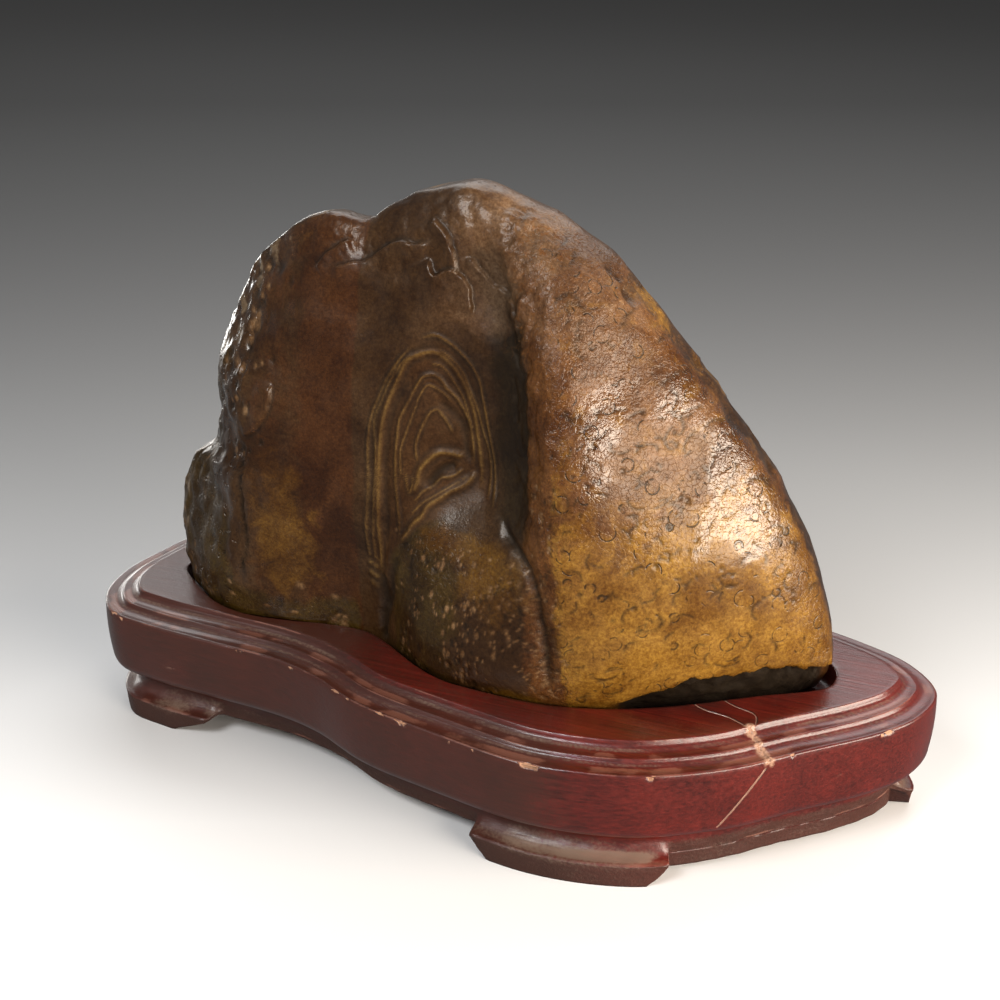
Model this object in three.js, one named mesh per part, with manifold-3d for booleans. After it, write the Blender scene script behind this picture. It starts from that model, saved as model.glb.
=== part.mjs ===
// A waxed scholar's rock standing in the fitted recess of its one-block carved hardwood stand.
// Millimetres, +Z up. The origin is at the middle of the bounding box, on the surface that the
// feet stand on. +X runs along the stand's length, and the stone's hollowed face looks to -Y.

import * as THREE from "three";
import { mergeVertices } from "three/addons/utils/BufferGeometryUtils.js";
import Module from "manifold-3d";

// ---------------------------------------------------------------------------------------------
// Driving dimensions

const STAND_HEIGHT = 54.6; // floor to the flat top of the stand
const LEDGE_HEIGHT = 51.4; // first moulded step below the top
const FRIEZE_TOP = 49.4; // second moulded step, which is the frieze's top edge
const FRIEZE_BOTTOM = 22.6;
const WAIST_HEIGHT = 14.4; // deepest point of the cove above the feet
const LIP_HEIGHT = 9.2; // top edge of each foot's face
const UNDERSIDE = 9.6; // flat underside between the feet
const RAIL_LOW = 2.6; // floor to the rail at the stand's right end
const RAIL_HIGH = 8.2; // floor to the rails between the other feet

const WAIST_INSET = 12; // all insets are measured in from the frieze's top edge
const COVE_INSET = 10; // half way down the cove that flares out to a foot
const COVE_HEIGHT = 11.4;
const FOOT_INSET = 4.6;
const FOOT_BACK_INSET = 17;
const FOOT_SPLAY = 0.6; // a foot's face leans in by this much on its way down
const RAIL_SPLAY = 0.3;
const BACK_DRAFT = 0.4; // the backs of feet and rails lean in by this much on their way up
const FOOT_END_SLANT = 8; // a foot's ends lean inwards by this much from lip to floor
const STAND_STATIONS = 108; // places round the stand at which its profile is set

const RECESS_FLOOR = 45.5; // height of the floor of the stone's recess
const CLEARANCE = 0.35; // gap left under the stone, so that the two solids stay apart
const RECESS_MARGIN = 1.3; // gap between the stone and the recess wall, at the stand's top
const RECESS_STATIONS = 36; // points along each long side of the recess

const STONE_CENTRE = new THREE.Vector3(-6, 8, 126);
const STONE_CURL = 5.5; // how far the stone's two ends curl towards the back
const STONE_LEAN = 2.5; // how much more of that there is at its right end, and less at its left
const STONE_HALF_LENGTH = 132;
const RIM_FULLNESS = 0.75; // below 1 the stone turns over its outline in a blunter curve
const STONE_DETAIL = 13; // splits along each edge of the ball that carries the stone's skin
const OUTLINE_STEPS = 720; // points on the stone's smoothed outline
const TIP_STEP = 0.25; // step of the search for a section's two tips
const FIELD_SCALE = 100; // length that the fitted depth fields are measured in
const CUTTER_SIZE = 400; // side of the block that trims the stone's underside flat

// The stand's plan, clockwise from the middle of the long front bulge. It follows the stone:
// broad under the tall right half, pinched at the front left.
const PLAN = [
  [43, -69], [2, -63], [-30, -55.5], [-53, -44.5], [-73, -39], [-100, -37], [-131, -34.5],
  [-150, -30], [-161.5, -16], [-165, 3], [-162, 22], [-156, 42], [-141, 55], [-112, 60],
  [-80, 57], [-45, 54], [-5, 58], [35, 66], [68, 69], [100, 66], [130, 58], [152, 47],
  [164, 30], [161, 11], [150, -5], [128, -26], [108, -45], [80, -62],
];

// The stand's mouldings, as inset and height, from its top edge down to the waist.
const MOULDINGS = [
  // rounded edge of the top, first step and its cove
  [14.2, STAND_HEIGHT], [13.5, STAND_HEIGHT - 0.4], [12.8, 52.9], [11.7, 51.8],
  // first ledge, second step and its cove
  [10, LEDGE_HEIGHT], [7, LEDGE_HEIGHT], [6.3, LEDGE_HEIGHT - 0.4], [5.6, 49.9],
  // second ledge and the slightly crowned frieze
  [4.4, FRIEZE_TOP], [0.9, FRIEZE_TOP], [0, FRIEZE_TOP - 0.8], [0.2, 36], [1.1, 27],
  // rounded under to a small bead and the waist
  [2.7, FRIEZE_BOTTOM], [5.6, 20.5], [9.4, 19.4], [9.9, 18], [11.6, 16.8],
  [WAIST_INSET, WAIST_HEIGHT],
];

// Each foot runs between two bearings about the stand's middle, in degrees anticlockwise from +X.
// `rail` is the height under the rail that follows it.
const FEET = [
  { from: 8, to: 29, rail: RAIL_HIGH }, // back right corner
  { from: 62, to: 112, rail: RAIL_HIGH }, // middle of the back
  { from: 147, to: 163, rail: RAIL_HIGH }, // back left corner
  { from: 173, to: 199, rail: RAIL_HIGH }, // front left corner
  { from: 283, to: 329, rail: RAIL_LOW }, // under the long front bulge
];

// The stone's outline seen from the front, as x and z, clockwise from the left of its foot. It
// goes on below the flat that the stone stands on, where it is cut off.
const STONE_OUTLINE = [
  [-134, 50], [-138, 74], [-137, 92], [-131, 105], [-120, 114], [-114, 128], [-113, 150],
  [-106, 169], [-93, 192], [-76, 205], [-62, 211], [-49, 210], [-36, 218], [-12, 226],
  [8, 222], [38, 206], [55, 189], [77, 163], [96, 140], [110, 118], [120, 97], [126, 76],
  [127, 52], [110, 34], [60, 27], [0, 26], [-60, 27], [-115, 34],
];

// Places on the skin facing the front, as x, y, z.
const STONE_FRONT = [
  // left end and its low lobe
  [-127, -2, 56], [-128, 0, 80], [-119, 1, 104], [-114, -12, 56], [-104, -17, 56],
  // broad smooth face
  [-108, -14, 80], [-108, -10, 110], [-104, -7, 140], [-96, -2, 165], [-82, 2, 188],
  [-71, -17, 56], [-72, -18, 85], [-71, -17, 115], [-70, -14, 145], [-68, -9, 175], [-63, 0, 200],
  // the part that carries the ringed hollow
  [-42, -14, 56], [-42, -17, 85], [-40, -18, 115], [-40, -17, 145], [-39, -11, 175],
  [-36, -3, 203], [-18, -18, 130], [-17, -17, 160], [-14, -12, 188], [-8, -5, 212],
  // gully between it and the near corner
  [12, -17, 125], [12, -15, 160], [8, -9, 192],
  // low lobe under the hollow
  [-19, -28, 56], [-3, -36, 56], [13, -38, 56], [-14, -31, 85], [8, -35, 85], [9, -28, 105],
  [-10, -25, 106],
  // near corner
  [38, -38, 56], [39, -40, 85], [38, -40, 115], [38, -36, 145], [36, -28, 172], [28, -15, 200],
  // big right face
  [60, -32, 56], [62, -35, 85], [61, -33, 115], [60, -26, 145], [54, -13, 174],
  [90, -15, 56], [93, -19, 85], [91, -17, 112], [82, -9, 138], [108, -3, 58], [112, -5, 80],
  [108, -4, 104],
];

// Places on the skin facing the back.
const STONE_BACK = [
  [-116, 36, 56], [-114, 34, 90], [-98, 32, 135], [-80, 28, 178], [-65, 38, 56], [-64, 39, 110],
  [-66, 34, 150], [-54, 25, 195], [-20, 40, 60], [-20, 43, 110], [-22, 40, 155], [-22, 29, 205],
  [30, 44, 60], [28, 48, 110], [22, 42, 155], [16, 30, 200], [76, 43, 60], [78, 42, 95],
  [64, 38, 140], [50, 32, 175], [106, 36, 60], [104, 33, 100],
];

// ---------------------------------------------------------------------------------------------
// Small geometry helpers

const wasm = await Module();
wasm.setup();

/** A BufferGeometry from a flat list of coordinates and a flat list of corner indices. */
function geometryFrom(coordinates, corners) {
  const geometry = new THREE.BufferGeometry();
  geometry.setAttribute("position", new THREE.Float32BufferAttribute(coordinates, 3));
  geometry.setIndex(corners);
  return geometry;
}

/** The same closed surface as a solid that can be cut. */
function solidFrom(geometry) {
  const bare = geometry.clone();
  bare.deleteAttribute("normal");
  bare.deleteAttribute("uv");
  const merged = mergeVertices(bare);
  const mesh = new wasm.Mesh({
    numProp: 3,
    vertProperties: Float32Array.from(merged.attributes.position.array),
    triVerts: Uint32Array.from(merged.index.array),
  });
  return new wasm.Manifold(mesh);
}

/** A cut solid back as a BufferGeometry. */
function geometryOf(solid) {
  const mesh = solid.getMesh();
  return geometryFrom(Array.from(mesh.vertProperties), Array.from(mesh.triVerts));
}

/** Solves a small dense set of linear equations by elimination with row swaps. */
function solve(matrix, right) {
  const size = right.length;
  const rows = matrix.map((row, i) => [...row, right[i]]);
  for (let pivot = 0; pivot < size; pivot++) {
    let best = pivot;
    for (let i = pivot + 1; i < size; i++) {
      if (Math.abs(rows[i][pivot]) > Math.abs(rows[best][pivot])) best = i;
    }
    [rows[pivot], rows[best]] = [rows[best], rows[pivot]];
    for (let i = pivot + 1; i < size; i++) {
      const factor = rows[i][pivot] / rows[pivot][pivot];
      for (let j = pivot; j <= size; j++) rows[i][j] -= factor * rows[pivot][j];
    }
  }
  const answer = new Array(size).fill(0);
  for (let i = size - 1; i >= 0; i--) {
    let sum = rows[i][size];
    for (let j = i + 1; j < size; j++) sum -= rows[i][j] * answer[j];
    answer[i] = sum / rows[i][i];
  }
  return answer;
}

// ---------------------------------------------------------------------------------------------
// The stone: a lens-like skin over its outline, fitted to its landmarks and cut flat below

/** Radius of the stone's outline in each bearing seen from the front, as a function. */
function fitOutline() {
  const knots = STONE_OUTLINE.map(([x, z]) => new THREE.Vector3(x, 0, z));
  const curve = new THREE.CatmullRomCurve3(knots, true, "centripetal");
  const rim = curve.getPoints(OUTLINE_STEPS).map((p) => p.sub(STONE_CENTRE));
  const polar = rim.map((p) => ({ bearing: Math.atan2(p.z, p.x), radius: Math.hypot(p.x, p.z) }));
  polar.sort((a, b) => a.bearing - b.bearing);
  const turn = 2 * Math.PI;
  const [first, last] = [polar[0], polar.at(-1)];
  polar.unshift({ bearing: last.bearing - turn, radius: last.radius });
  polar.push({ bearing: first.bearing + turn, radius: first.radius });
  return (bearing) => {
    const next = Math.max(1, polar.findIndex((p) => p.bearing > bearing));
    const [a, b] = [polar[next - 1], polar[next]];
    const share = (bearing - a.bearing) / (b.bearing - a.bearing || 1);
    return THREE.MathUtils.lerp(a.radius, b.radius, share);
  };
}

/** A smooth field over the front view that takes each given value at its place. */
function fitField(places, values) {
  const pull = (ax, az, bx, bz) => {
    const square = ((ax - bx) ** 2 + (az - bz) ** 2) / FIELD_SCALE ** 2;
    return square > 0 ? square * Math.log(square) : 0;
  };
  const rows = places.map(([x, z]) => [...places.map((p) => pull(x, z, ...p)), 1, x, z]);
  const trends = [places.map(() => 1), places.map((p) => p[0]), places.map((p) => p[1])];
  trends.forEach((trend) => rows.push([...trend, 0, 0, 0]));
  const weights = solve(rows, [...values, 0, 0, 0]);
  const [base, slopeX, slopeZ] = weights.slice(places.length);
  return (x, z) => {
    const bends = places.reduce((sum, p, i) => sum + weights[i] * pull(x, z, ...p), 0);
    return bends + base + slopeX * x + slopeZ * z;
  };
}

/** Share of the way from the stone's centre to its outline, seen from the front. */
function rimShareAt(radiusAt, x, z) {
  const across = [x - STONE_CENTRE.x, z - STONE_CENTRE.z];
  return Math.hypot(...across) / radiusAt(Math.atan2(across[1], across[0]));
}

/** Where the front meets the back, as y: both ends curl a little towards the back. */
function middleAt(x) {
  const share = (x - STONE_CENTRE.x) / STONE_HALF_LENGTH;
  return STONE_CENTRE.y + STONE_LEAN * share + STONE_CURL * share ** 2;
}

/** How much of its full depth the stone has at a share of the way out to its outline. */
const bulgeAt = (rimShare) => Math.max(0, 1 - rimShare ** 2) ** (RIM_FULLNESS / 2);

/** Depth from the middle, as a function over the front view, for one side of the stone. */
function fitSide(landmarks, radiusAt) {
  const places = landmarks.map(([x, , z]) => [x, z]);
  const values = landmarks.map(([x, y, z]) => {
    return (y - middleAt(x)) / bulgeAt(rimShareAt(radiusAt, x, z));
  });
  return fitField(places, values);
}

/** The stone's fitted form, shared by its own skin and by the recess that is cut to it. */
function fitForm() {
  const radiusAt = fitOutline();
  const frontDepth = fitSide(STONE_FRONT, radiusAt);
  const backDepth = fitSide(STONE_BACK, radiusAt);
  return { radiusAt, frontDepth, backDepth };
}

/** The stone's solid, cut flat where it stands. */
function makeStone(form) {
  const ball = new THREE.IcosahedronGeometry(1, STONE_DETAIL);
  ball.deleteAttribute("normal");
  ball.deleteAttribute("uv");
  const skin = mergeVertices(ball);
  const at = skin.attributes.position;
  for (let i = 0; i < at.count; i++) {
    const direction = new THREE.Vector3().fromBufferAttribute(at, i).normalize();
    const bearing = Math.atan2(direction.z, direction.x);
    const reach = form.radiusAt(bearing) * Math.hypot(direction.x, direction.z);
    const x = STONE_CENTRE.x + reach * Math.cos(bearing);
    const z = STONE_CENTRE.z + reach * Math.sin(bearing);
    const depth = direction.y < 0 ? form.frontDepth(x, z) : form.backDepth(x, z);
    at.setXYZ(i, x, middleAt(x) + Math.abs(direction.y) ** RIM_FULLNESS * depth, z);
  }
  const cutter = new THREE.BoxGeometry(CUTTER_SIZE, CUTTER_SIZE, CUTTER_SIZE);
  cutter.translate(0, 0, RECESS_FLOOR + CLEARANCE - CUTTER_SIZE / 2);
  return geometryOf(solidFrom(skin).subtract(solidFrom(cutter)));
}

/** The stone's level section at one height, anticlockwise from its left tip. */
function sectionAt(form, z) {
  const tip = (step) => {
    let x = STONE_CENTRE.x;
    while (rimShareAt(form.radiusAt, x + step, z) < 1) x += step;
    return x;
  };
  const [left, right] = [tip(-TIP_STEP), tip(TIP_STEP)];
  const side = (depthAt, from, to) => {
    const points = [];
    for (let i = 0; i < RECESS_STATIONS; i++) {
      const share = (1 - Math.cos((Math.PI * i) / RECESS_STATIONS)) / 2;
      const x = THREE.MathUtils.lerp(from, to, share);
      const bulge = bulgeAt(rimShareAt(form.radiusAt, x, z));
      points.push(new THREE.Vector2(x, middleAt(x) + bulge * depthAt(x, z)));
    }
    return points;
  };
  return [...side(form.frontDepth, left, right), ...side(form.backDepth, right, left)];
}

// ---------------------------------------------------------------------------------------------
// The stand: one moulded profile carried round the plan, and the recess cut into it

/** Points and outward normals at even steps round the stand's plan. */
function planStations() {
  const knots = PLAN.map(([x, y]) => new THREE.Vector3(x, y, 0));
  const curve = new THREE.CatmullRomCurve3(knots, true, "centripetal");
  const points = curve.getSpacedPoints(STAND_STATIONS).slice(0, STAND_STATIONS);
  return points.map((point, i) => {
    const before = points[(i + STAND_STATIONS - 1) % STAND_STATIONS];
    const after = points[(i + 1) % STAND_STATIONS];
    const along = after.clone().sub(before).normalize();
    return { point, outward: new THREE.Vector3(-along.y, along.x, 0) };
  });
}

/** Bearing of a plan point about the stand's middle, in degrees from 0 to 360. */
const bearingOf = (point) => (THREE.MathUtils.radToDeg(Math.atan2(point.y, point.x)) + 360) % 360;

/** 1 under a foot, 0 between feet; `trim` shortens the foot at both ends, in millimetres. */
function footing(point, trim) {
  const bearing = bearingOf(point);
  const trimmed = THREE.MathUtils.radToDeg(trim / point.length());
  return FEET.some((f) => bearing > f.from + trimmed && bearing < f.to - trimmed) ? 1 : 0;
}

/** The stand's profile at one place round it, as inset and height, from the top downwards. */
function profileAt(point) {
  const mix = THREE.MathUtils.lerp;
  const lip = footing(point, 0);
  const sole = footing(point, FOOT_END_SLANT);
  const foot = FEET.findLast((f) => f.from < bearingOf(point)) ?? FEET.at(-1);
  const bottom = mix(foot.rail, 0, sole);
  return [
    ...MOULDINGS,
    // flared to a foot's lip, or straight down a rail
    [mix(WAIST_INSET, COVE_INSET, lip), COVE_HEIGHT],
    [mix(WAIST_INSET, FOOT_INSET, lip), LIP_HEIGHT],
    [mix(WAIST_INSET + RAIL_SPLAY, FOOT_INSET + FOOT_SPLAY, sole), bottom],
    [FOOT_BACK_INSET, bottom], [FOOT_BACK_INSET + BACK_DRAFT, UNDERSIDE],
  ];
}

/** The stand before its recess is cut. */
function makeStandBlank() {
  const stations = planStations();
  const coordinates = [];
  const corners = [];
  const rows = profileAt(stations[0].point).length;
  for (const { point, outward } of stations) {
    for (const [inset, height] of profileAt(point)) {
      const place = point.clone().addScaledVector(outward, -inset);
      coordinates.push(place.x, place.y, height);
    }
  }
  const index = (station, row) => (station % STAND_STATIONS) * rows + row;
  for (let s = 0; s < STAND_STATIONS; s++) {
    for (let r = 0; r < rows - 1; r++) {
      const [a, b] = [index(s, r), index(s + 1, r)];
      const [c, d] = [index(s + 1, r + 1), index(s, r + 1)];
      corners.push(a, b, c, a, c, d);
    }
  }
  const top = coordinates.length / 3;
  coordinates.push(0, 0, STAND_HEIGHT, 0, 0, UNDERSIDE);
  for (let s = 0; s < STAND_STATIONS; s++) {
    corners.push(top, index(s + 1, 0), index(s, 0));
    corners.push(top + 1, index(s, rows - 1), index(s + 1, rows - 1));
  }
  return geometryFrom(coordinates, corners);
}

/** The recess's outline, which is the stone's section at the stand's top, grown a little. */
function recessOutline(form) {
  const section = sectionAt(form, STAND_HEIGHT);
  return section.map((point, i) => {
    const before = section.at(i - 1);
    const after = section[(i + 1) % section.length];
    const along = after.clone().sub(before).normalize();
    return new THREE.Vector2(point.x + along.y * RECESS_MARGIN, point.y - along.x * RECESS_MARGIN);
  });
}

/** The stand with the stone's recess cut into its top. */
function makeStand(form) {
  const depth = STAND_HEIGHT - RECESS_FLOOR;
  const outline = new THREE.Shape(recessOutline(form));
  const recess = new THREE.ExtrudeGeometry(outline, { depth: 2 * depth, bevelEnabled: false });
  recess.translate(0, 0, RECESS_FLOOR);
  return geometryOf(solidFrom(makeStandBlank()).subtract(solidFrom(recess)));
}

// ---------------------------------------------------------------------------------------------
// Assembly

const waxedStone = new THREE.MeshStandardMaterial({ color: 0x75502a, roughness: 0.28 });
const lacqueredWood = new THREE.MeshStandardMaterial({ color: 0x5a201c, roughness: 0.32 });

function makeRockOnStand() {
  const form = fitForm();
  const stone = new THREE.Mesh(makeStone(form), waxedStone);
  stone.name = "stone";
  const stand = new THREE.Mesh(makeStand(form), lacqueredWood);
  stand.name = "stand";
  const group = new THREE.Group();
  group.add(stone, stand);
  const middle = new THREE.Box3().setFromObject(stand).getCenter(new THREE.Vector3());
  group.position.set(-middle.x, -middle.y, 0);
  return group;
}

export default makeRockOnStand();
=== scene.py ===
"""A waxed scholar's rock on its carved and lacquered hardwood stand.

Shapes are worked out in millimetres, +Z up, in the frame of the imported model, and turned to
metres where a mesh is made. The rock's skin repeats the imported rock's outline and landmarks and
the stand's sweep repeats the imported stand's plan and mouldings; both then get the fine surface
that wear, water and the carver's tools gave them.
"""

import functools
import itertools
import logging
import math
from collections.abc import Callable
from dataclasses import dataclass, field
from enum import Enum

import bmesh
import bpy
import numpy as np
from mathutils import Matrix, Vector
from mathutils.kdtree import KDTree


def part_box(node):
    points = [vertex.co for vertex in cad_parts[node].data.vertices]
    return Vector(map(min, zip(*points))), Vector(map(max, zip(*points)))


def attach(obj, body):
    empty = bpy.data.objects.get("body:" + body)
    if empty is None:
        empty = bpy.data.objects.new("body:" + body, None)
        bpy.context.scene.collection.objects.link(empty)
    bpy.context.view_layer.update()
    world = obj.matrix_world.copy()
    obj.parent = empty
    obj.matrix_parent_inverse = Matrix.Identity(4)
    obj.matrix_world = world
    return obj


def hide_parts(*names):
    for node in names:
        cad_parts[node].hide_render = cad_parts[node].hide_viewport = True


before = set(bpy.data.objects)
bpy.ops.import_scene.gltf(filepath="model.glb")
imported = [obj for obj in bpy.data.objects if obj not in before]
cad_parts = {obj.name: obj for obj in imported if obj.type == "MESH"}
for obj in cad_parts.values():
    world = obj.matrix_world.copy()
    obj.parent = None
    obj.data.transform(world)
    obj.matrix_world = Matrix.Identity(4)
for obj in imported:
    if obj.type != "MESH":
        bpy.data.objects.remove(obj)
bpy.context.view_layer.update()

LOG = logging.getLogger("scholar_rock")
MM = 0.001  # metres in a millimetre
Sockets = dict[str, bpy.types.NodeSocket]
BODY = "root"


# ---------------------------------------------------------------------------------------------
# Small tools


def linear(code: str) -> tuple[float, float, float, float]:
    """Turns an sRGB hex colour to a linear one.

    Args:
        code: the colour as a hash sign and six hex digits.

    Returns:
        Linear red, green and blue, and an alpha of 1.
    """
    shares = [int(code.lstrip("#")[i:i + 2], 16) / 255 for i in (0, 2, 4)]
    light = [s / 12.92 if s <= 0.04045 else ((s + 0.055) / 1.055) ** 2.4 for s in shares]
    return (*light, 1.0)


def ease(value: np.ndarray, low: float, high: float) -> np.ndarray:
    """Eases from 0 at `low` to 1 at `high`."""
    share = np.clip((value - low) / (high - low), 0.0, 1.0)
    return share * share * (3.0 - 2.0 * share)


def bell(distance: np.ndarray, width: float) -> np.ndarray:
    """1 on a line or at a place, falling to almost nothing two widths away."""
    return np.exp(-np.minimum(distance / width, 9.0) ** 2)


def add_node(tree: bpy.types.NodeTree, kind: str, inputs: dict | None = None,
             take: str | None = None, **settings) -> bpy.types.NodeSocket:
    """Adds a node with its settings and links.

    Args:
        tree: node tree that the node joins.
        kind: node type, such as "ShaderNodeTexNoise".
        inputs: for each input socket's name or number, a value or the socket that feeds it.
        take: name of the output to hand back, or None for the first one in use.
        settings: the node's own properties.

    Returns:
        The output socket.
    """
    node = tree.nodes.new(kind)
    for name, value in settings.items():
        setattr(node, name, value)
    for key, value in (inputs or {}).items():
        if isinstance(value, bpy.types.NodeSocket):
            tree.links.new(value, node.inputs[key])
        else:
            node.inputs[key].default_value = value
    if take:
        return node.outputs[take]
    return next((socket for socket in node.outputs if socket.enabled), None)


def new_finish(name: str) -> tuple[bpy.types.Material, Callable[..., bpy.types.NodeSocket]]:
    """Makes an empty material.

    Args:
        name: the material's name.

    Returns:
        The material, and `add_node` bound to its node tree.
    """
    material = bpy.data.materials.new(name)
    material.use_nodes = True
    material.node_tree.nodes.clear()
    return material, functools.partial(add_node, material.node_tree)


def spline(knots: np.ndarray, closed: bool, steps: int) -> np.ndarray:
    """Samples a centripetal Catmull-Rom curve through its knots.

    Args:
        knots: places that the curve goes through, one row each.
        closed: whether it comes back to its first knot.
        steps: samples in each stretch between two knots.

    Returns:
        The samples, without a repeat of the first one on a closed curve.
    """
    knots = np.asarray(knots, float)
    count = len(knots)
    if closed:
        padded = np.concatenate([knots[-1:], knots, knots[:2]])
    else:
        first = 2 * knots[:1] - knots[1:2]
        last = 2 * knots[-1:] - knots[-2:-1]
        padded = np.concatenate([first, knots, last])
    share = (np.arange(steps) / steps)[:, None]
    pieces = []
    for i in range(count if closed else count - 1):
        p0, p1, p2, p3 = padded[i:i + 4]
        d0, d1, d2 = (math.sqrt(np.linalg.norm(b - a)) for a, b in ((p0, p1), (p1, p2), (p2, p3)))
        out = d1 * ((p1 - p0) / d0 - (p2 - p0) / (d0 + d1) + (p2 - p1) / d1)
        into = d1 * ((p2 - p1) / d1 - (p3 - p1) / (d1 + d2) + (p3 - p2) / d2)
        bend = -3 * p1 + 3 * p2 - 2 * out - into
        turn = 2 * p1 - 2 * p2 + out + into
        pieces.append(p1 + share * (out + share * (bend + share * turn)))
    if not closed:
        pieces.append(knots[-1:])
    return np.concatenate(pieces)


class Noise:
    """Smooth seeded noise in space, about -1 to 1."""

    CELLS = 48
    GAIN = 1.5

    def __init__(self, seed: int) -> None:
        """Draws the slopes at the corners of the noise's cells."""
        slopes = np.random.default_rng(seed).normal(size=(self.CELLS,) * 3 + (3,))
        self.slopes = slopes / np.linalg.norm(slopes, axis=-1, keepdims=True)

    def plain(self, points: np.ndarray, grain: float) -> np.ndarray:
        """One layer of noise.

        Args:
            points: places, in millimetres.
            grain: size of a cell, in millimetres.

        Returns:
            A value for each place.
        """
        cell = points / grain
        base = np.floor(cell).astype(int)
        share = cell - base
        eased = share ** 3 * (share * (share * 6 - 15) + 10)
        total = np.zeros(len(points))
        for corner in itertools.product((0, 1), repeat=3):
            offset = np.array(corner)
            place = (base + offset) % self.CELLS
            slope = self.slopes[place[:, 0], place[:, 1], place[:, 2]]
            weight = np.prod(np.where(offset == 1, eased, 1 - eased), axis=1)
            total += weight * np.einsum("ij,ij->i", slope, share - offset)
        return total * self.GAIN

    def layered(self, points: np.ndarray, grain: float, layers: int = 3) -> np.ndarray:
        """Several layers of noise, each half as large and half as strong as the one before."""
        parts = [self.plain(points + 17.3 * k, grain / 2 ** k) / 2 ** k for k in range(layers)]
        return sum(parts)


class Trail:
    """A smooth open line that a surface is carved, raised or tinted along."""

    STEPS = 5  # samples between two places

    def __init__(self, places: list[tuple[float, ...]]) -> None:
        """Runs a curve through some places.

        Args:
            places: two or three coordinates for each place.
        """
        self.points = spline(np.array(places, float), closed=False, steps=self.STEPS)
        lengths = np.linalg.norm(np.diff(self.points, axis=0), axis=1)
        self.lengths = np.concatenate([[0.0], np.cumsum(lengths)])

    def measure(self, at: np.ndarray, reach: float) -> tuple[np.ndarray, np.ndarray, np.ndarray]:
        """How points lie beside the line.

        Args:
            at: points with as many coordinates as the line's places.
            reach: how far from the line it matters.

        Returns:
            Each point's distance (large beyond `reach`), its share of the way along the line,
            and its side, 1 to the left of the line's run and -1 to the right, in two dimensions.
        """
        distance = np.full(len(at), 1e3)
        along = np.zeros(len(at))
        side = np.ones(len(at))
        inside = (at > self.points.min(0) - reach) & (at < self.points.max(0) + reach)
        near = np.flatnonzero(inside.all(axis=1))
        points = at[near]
        best = np.full(len(near), 1e3)
        for i, (start, end) in enumerate(zip(self.points[:-1], self.points[1:])):
            step = end - start
            share = np.clip((points - start) @ step / (step @ step), 0.0, 1.0)
            gap = points - start - share[:, None] * step
            length = np.linalg.norm(gap, axis=1)
            closer = length < best
            best[closer] = length[closer]
            run = self.lengths[i] + share * (self.lengths[i + 1] - self.lengths[i])
            along[near[closer]] = run[closer] / self.lengths[-1]
            cross = step[0] * gap[:, 1] - step[1] * gap[:, 0]
            side[near[closer]] = np.where(cross[closer] >= 0, 1.0, -1.0)
        distance[near] = best
        return distance, along, side

    def strength(self, at: np.ndarray, width: float, taper: float = 0.08) -> np.ndarray:
        """How strongly the line marks each point.

        Args:
            at: points with as many coordinates as the line's places.
            width: distance that the mark fades over.
            taper: share of the line that each end fades over.

        Returns:
            1 on the line, fading over its width and towards its two ends.
        """
        distance, along, _ = self.measure(at, 3 * width)
        ends = ease(along, 0.0, taper) * ease(along, 1.0, 1.0 - taper) if taper else 1.0
        return bell(distance, width) * ends


def mesh_object(name: str, bm: bmesh.types.BMesh) -> bpy.types.Object:
    """Makes a smooth-shaded object.

    Args:
        name: the object's name.
        bm: its mesh in metres, which is freed.

    Returns:
        The object, linked to the scene.
    """
    mesh = bpy.data.meshes.new(name)
    bm.normal_update()
    bm.to_mesh(mesh)
    bm.free()
    mesh.shade_smooth()
    thing = bpy.data.objects.new(name, mesh)
    bpy.context.scene.collection.objects.link(thing)
    return thing


def get_points(mesh: bpy.types.Mesh) -> np.ndarray:
    """Reads a mesh's vertices.

    Args:
        mesh: the mesh.

    Returns:
        Their places, one row each.
    """
    flat = np.empty(3 * len(mesh.vertices))
    mesh.vertices.foreach_get("co", flat)
    return flat.reshape(-1, 3)


def get_normals(mesh: bpy.types.Mesh) -> np.ndarray:
    """Reads a mesh's vertex normals.

    Args:
        mesh: the mesh.

    Returns:
        The normals, one row each.
    """
    flat = np.empty(3 * len(mesh.vertices))
    mesh.vertex_normals.foreach_get("vector", flat)
    return flat.reshape(-1, 3)


def set_points(mesh: bpy.types.Mesh, points: np.ndarray) -> None:
    """Moves a mesh's vertices."""
    mesh.vertices.foreach_set("co", points.ravel())
    mesh.update()


def set_mask(mesh: bpy.types.Mesh, name: str, values: np.ndarray) -> None:
    """Stores one number for each vertex, which a material reads by its name."""
    mask = mesh.attributes.new(name, "FLOAT", "POINT")
    mask.data.foreach_set("value", np.clip(values, 0.0, 1.0).astype(np.float32))


def refine(bm: bmesh.types.BMesh, wanted: Callable[[np.ndarray], np.ndarray]) -> None:
    """Splits the faces whose corners all lie in a region into four.

    Args:
        bm: mesh to refine.
        wanted: function from vertex positions to True where the mesh has to be finer.
    """
    bm.verts.ensure_lookup_table()
    inside = wanted(np.array([v.co for v in bm.verts]))
    bm.verts.index_update()
    edges = [e for e in bm.edges if inside[e.verts[0].index] and inside[e.verts[1].index]]
    bmesh.ops.subdivide_edges(bm, edges=edges, cuts=1, use_grid_fill=True)


# ---------------------------------------------------------------------------------------------
# The rock's form, as packed

OUTLINE = [
    (-134, 50), (-138, 74), (-137, 92), (-131, 105), (-120, 114), (-114, 128), (-113, 150),
    (-106, 169), (-93, 192), (-76, 205), (-62, 211), (-49, 210), (-36, 218), (-12, 226),
    (8, 222), (38, 206), (55, 189), (77, 163), (96, 140), (110, 118), (120, 97), (126, 76),
    (127, 52), (110, 34), (60, 27), (0, 26), (-60, 27), (-115, 34),
]

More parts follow.
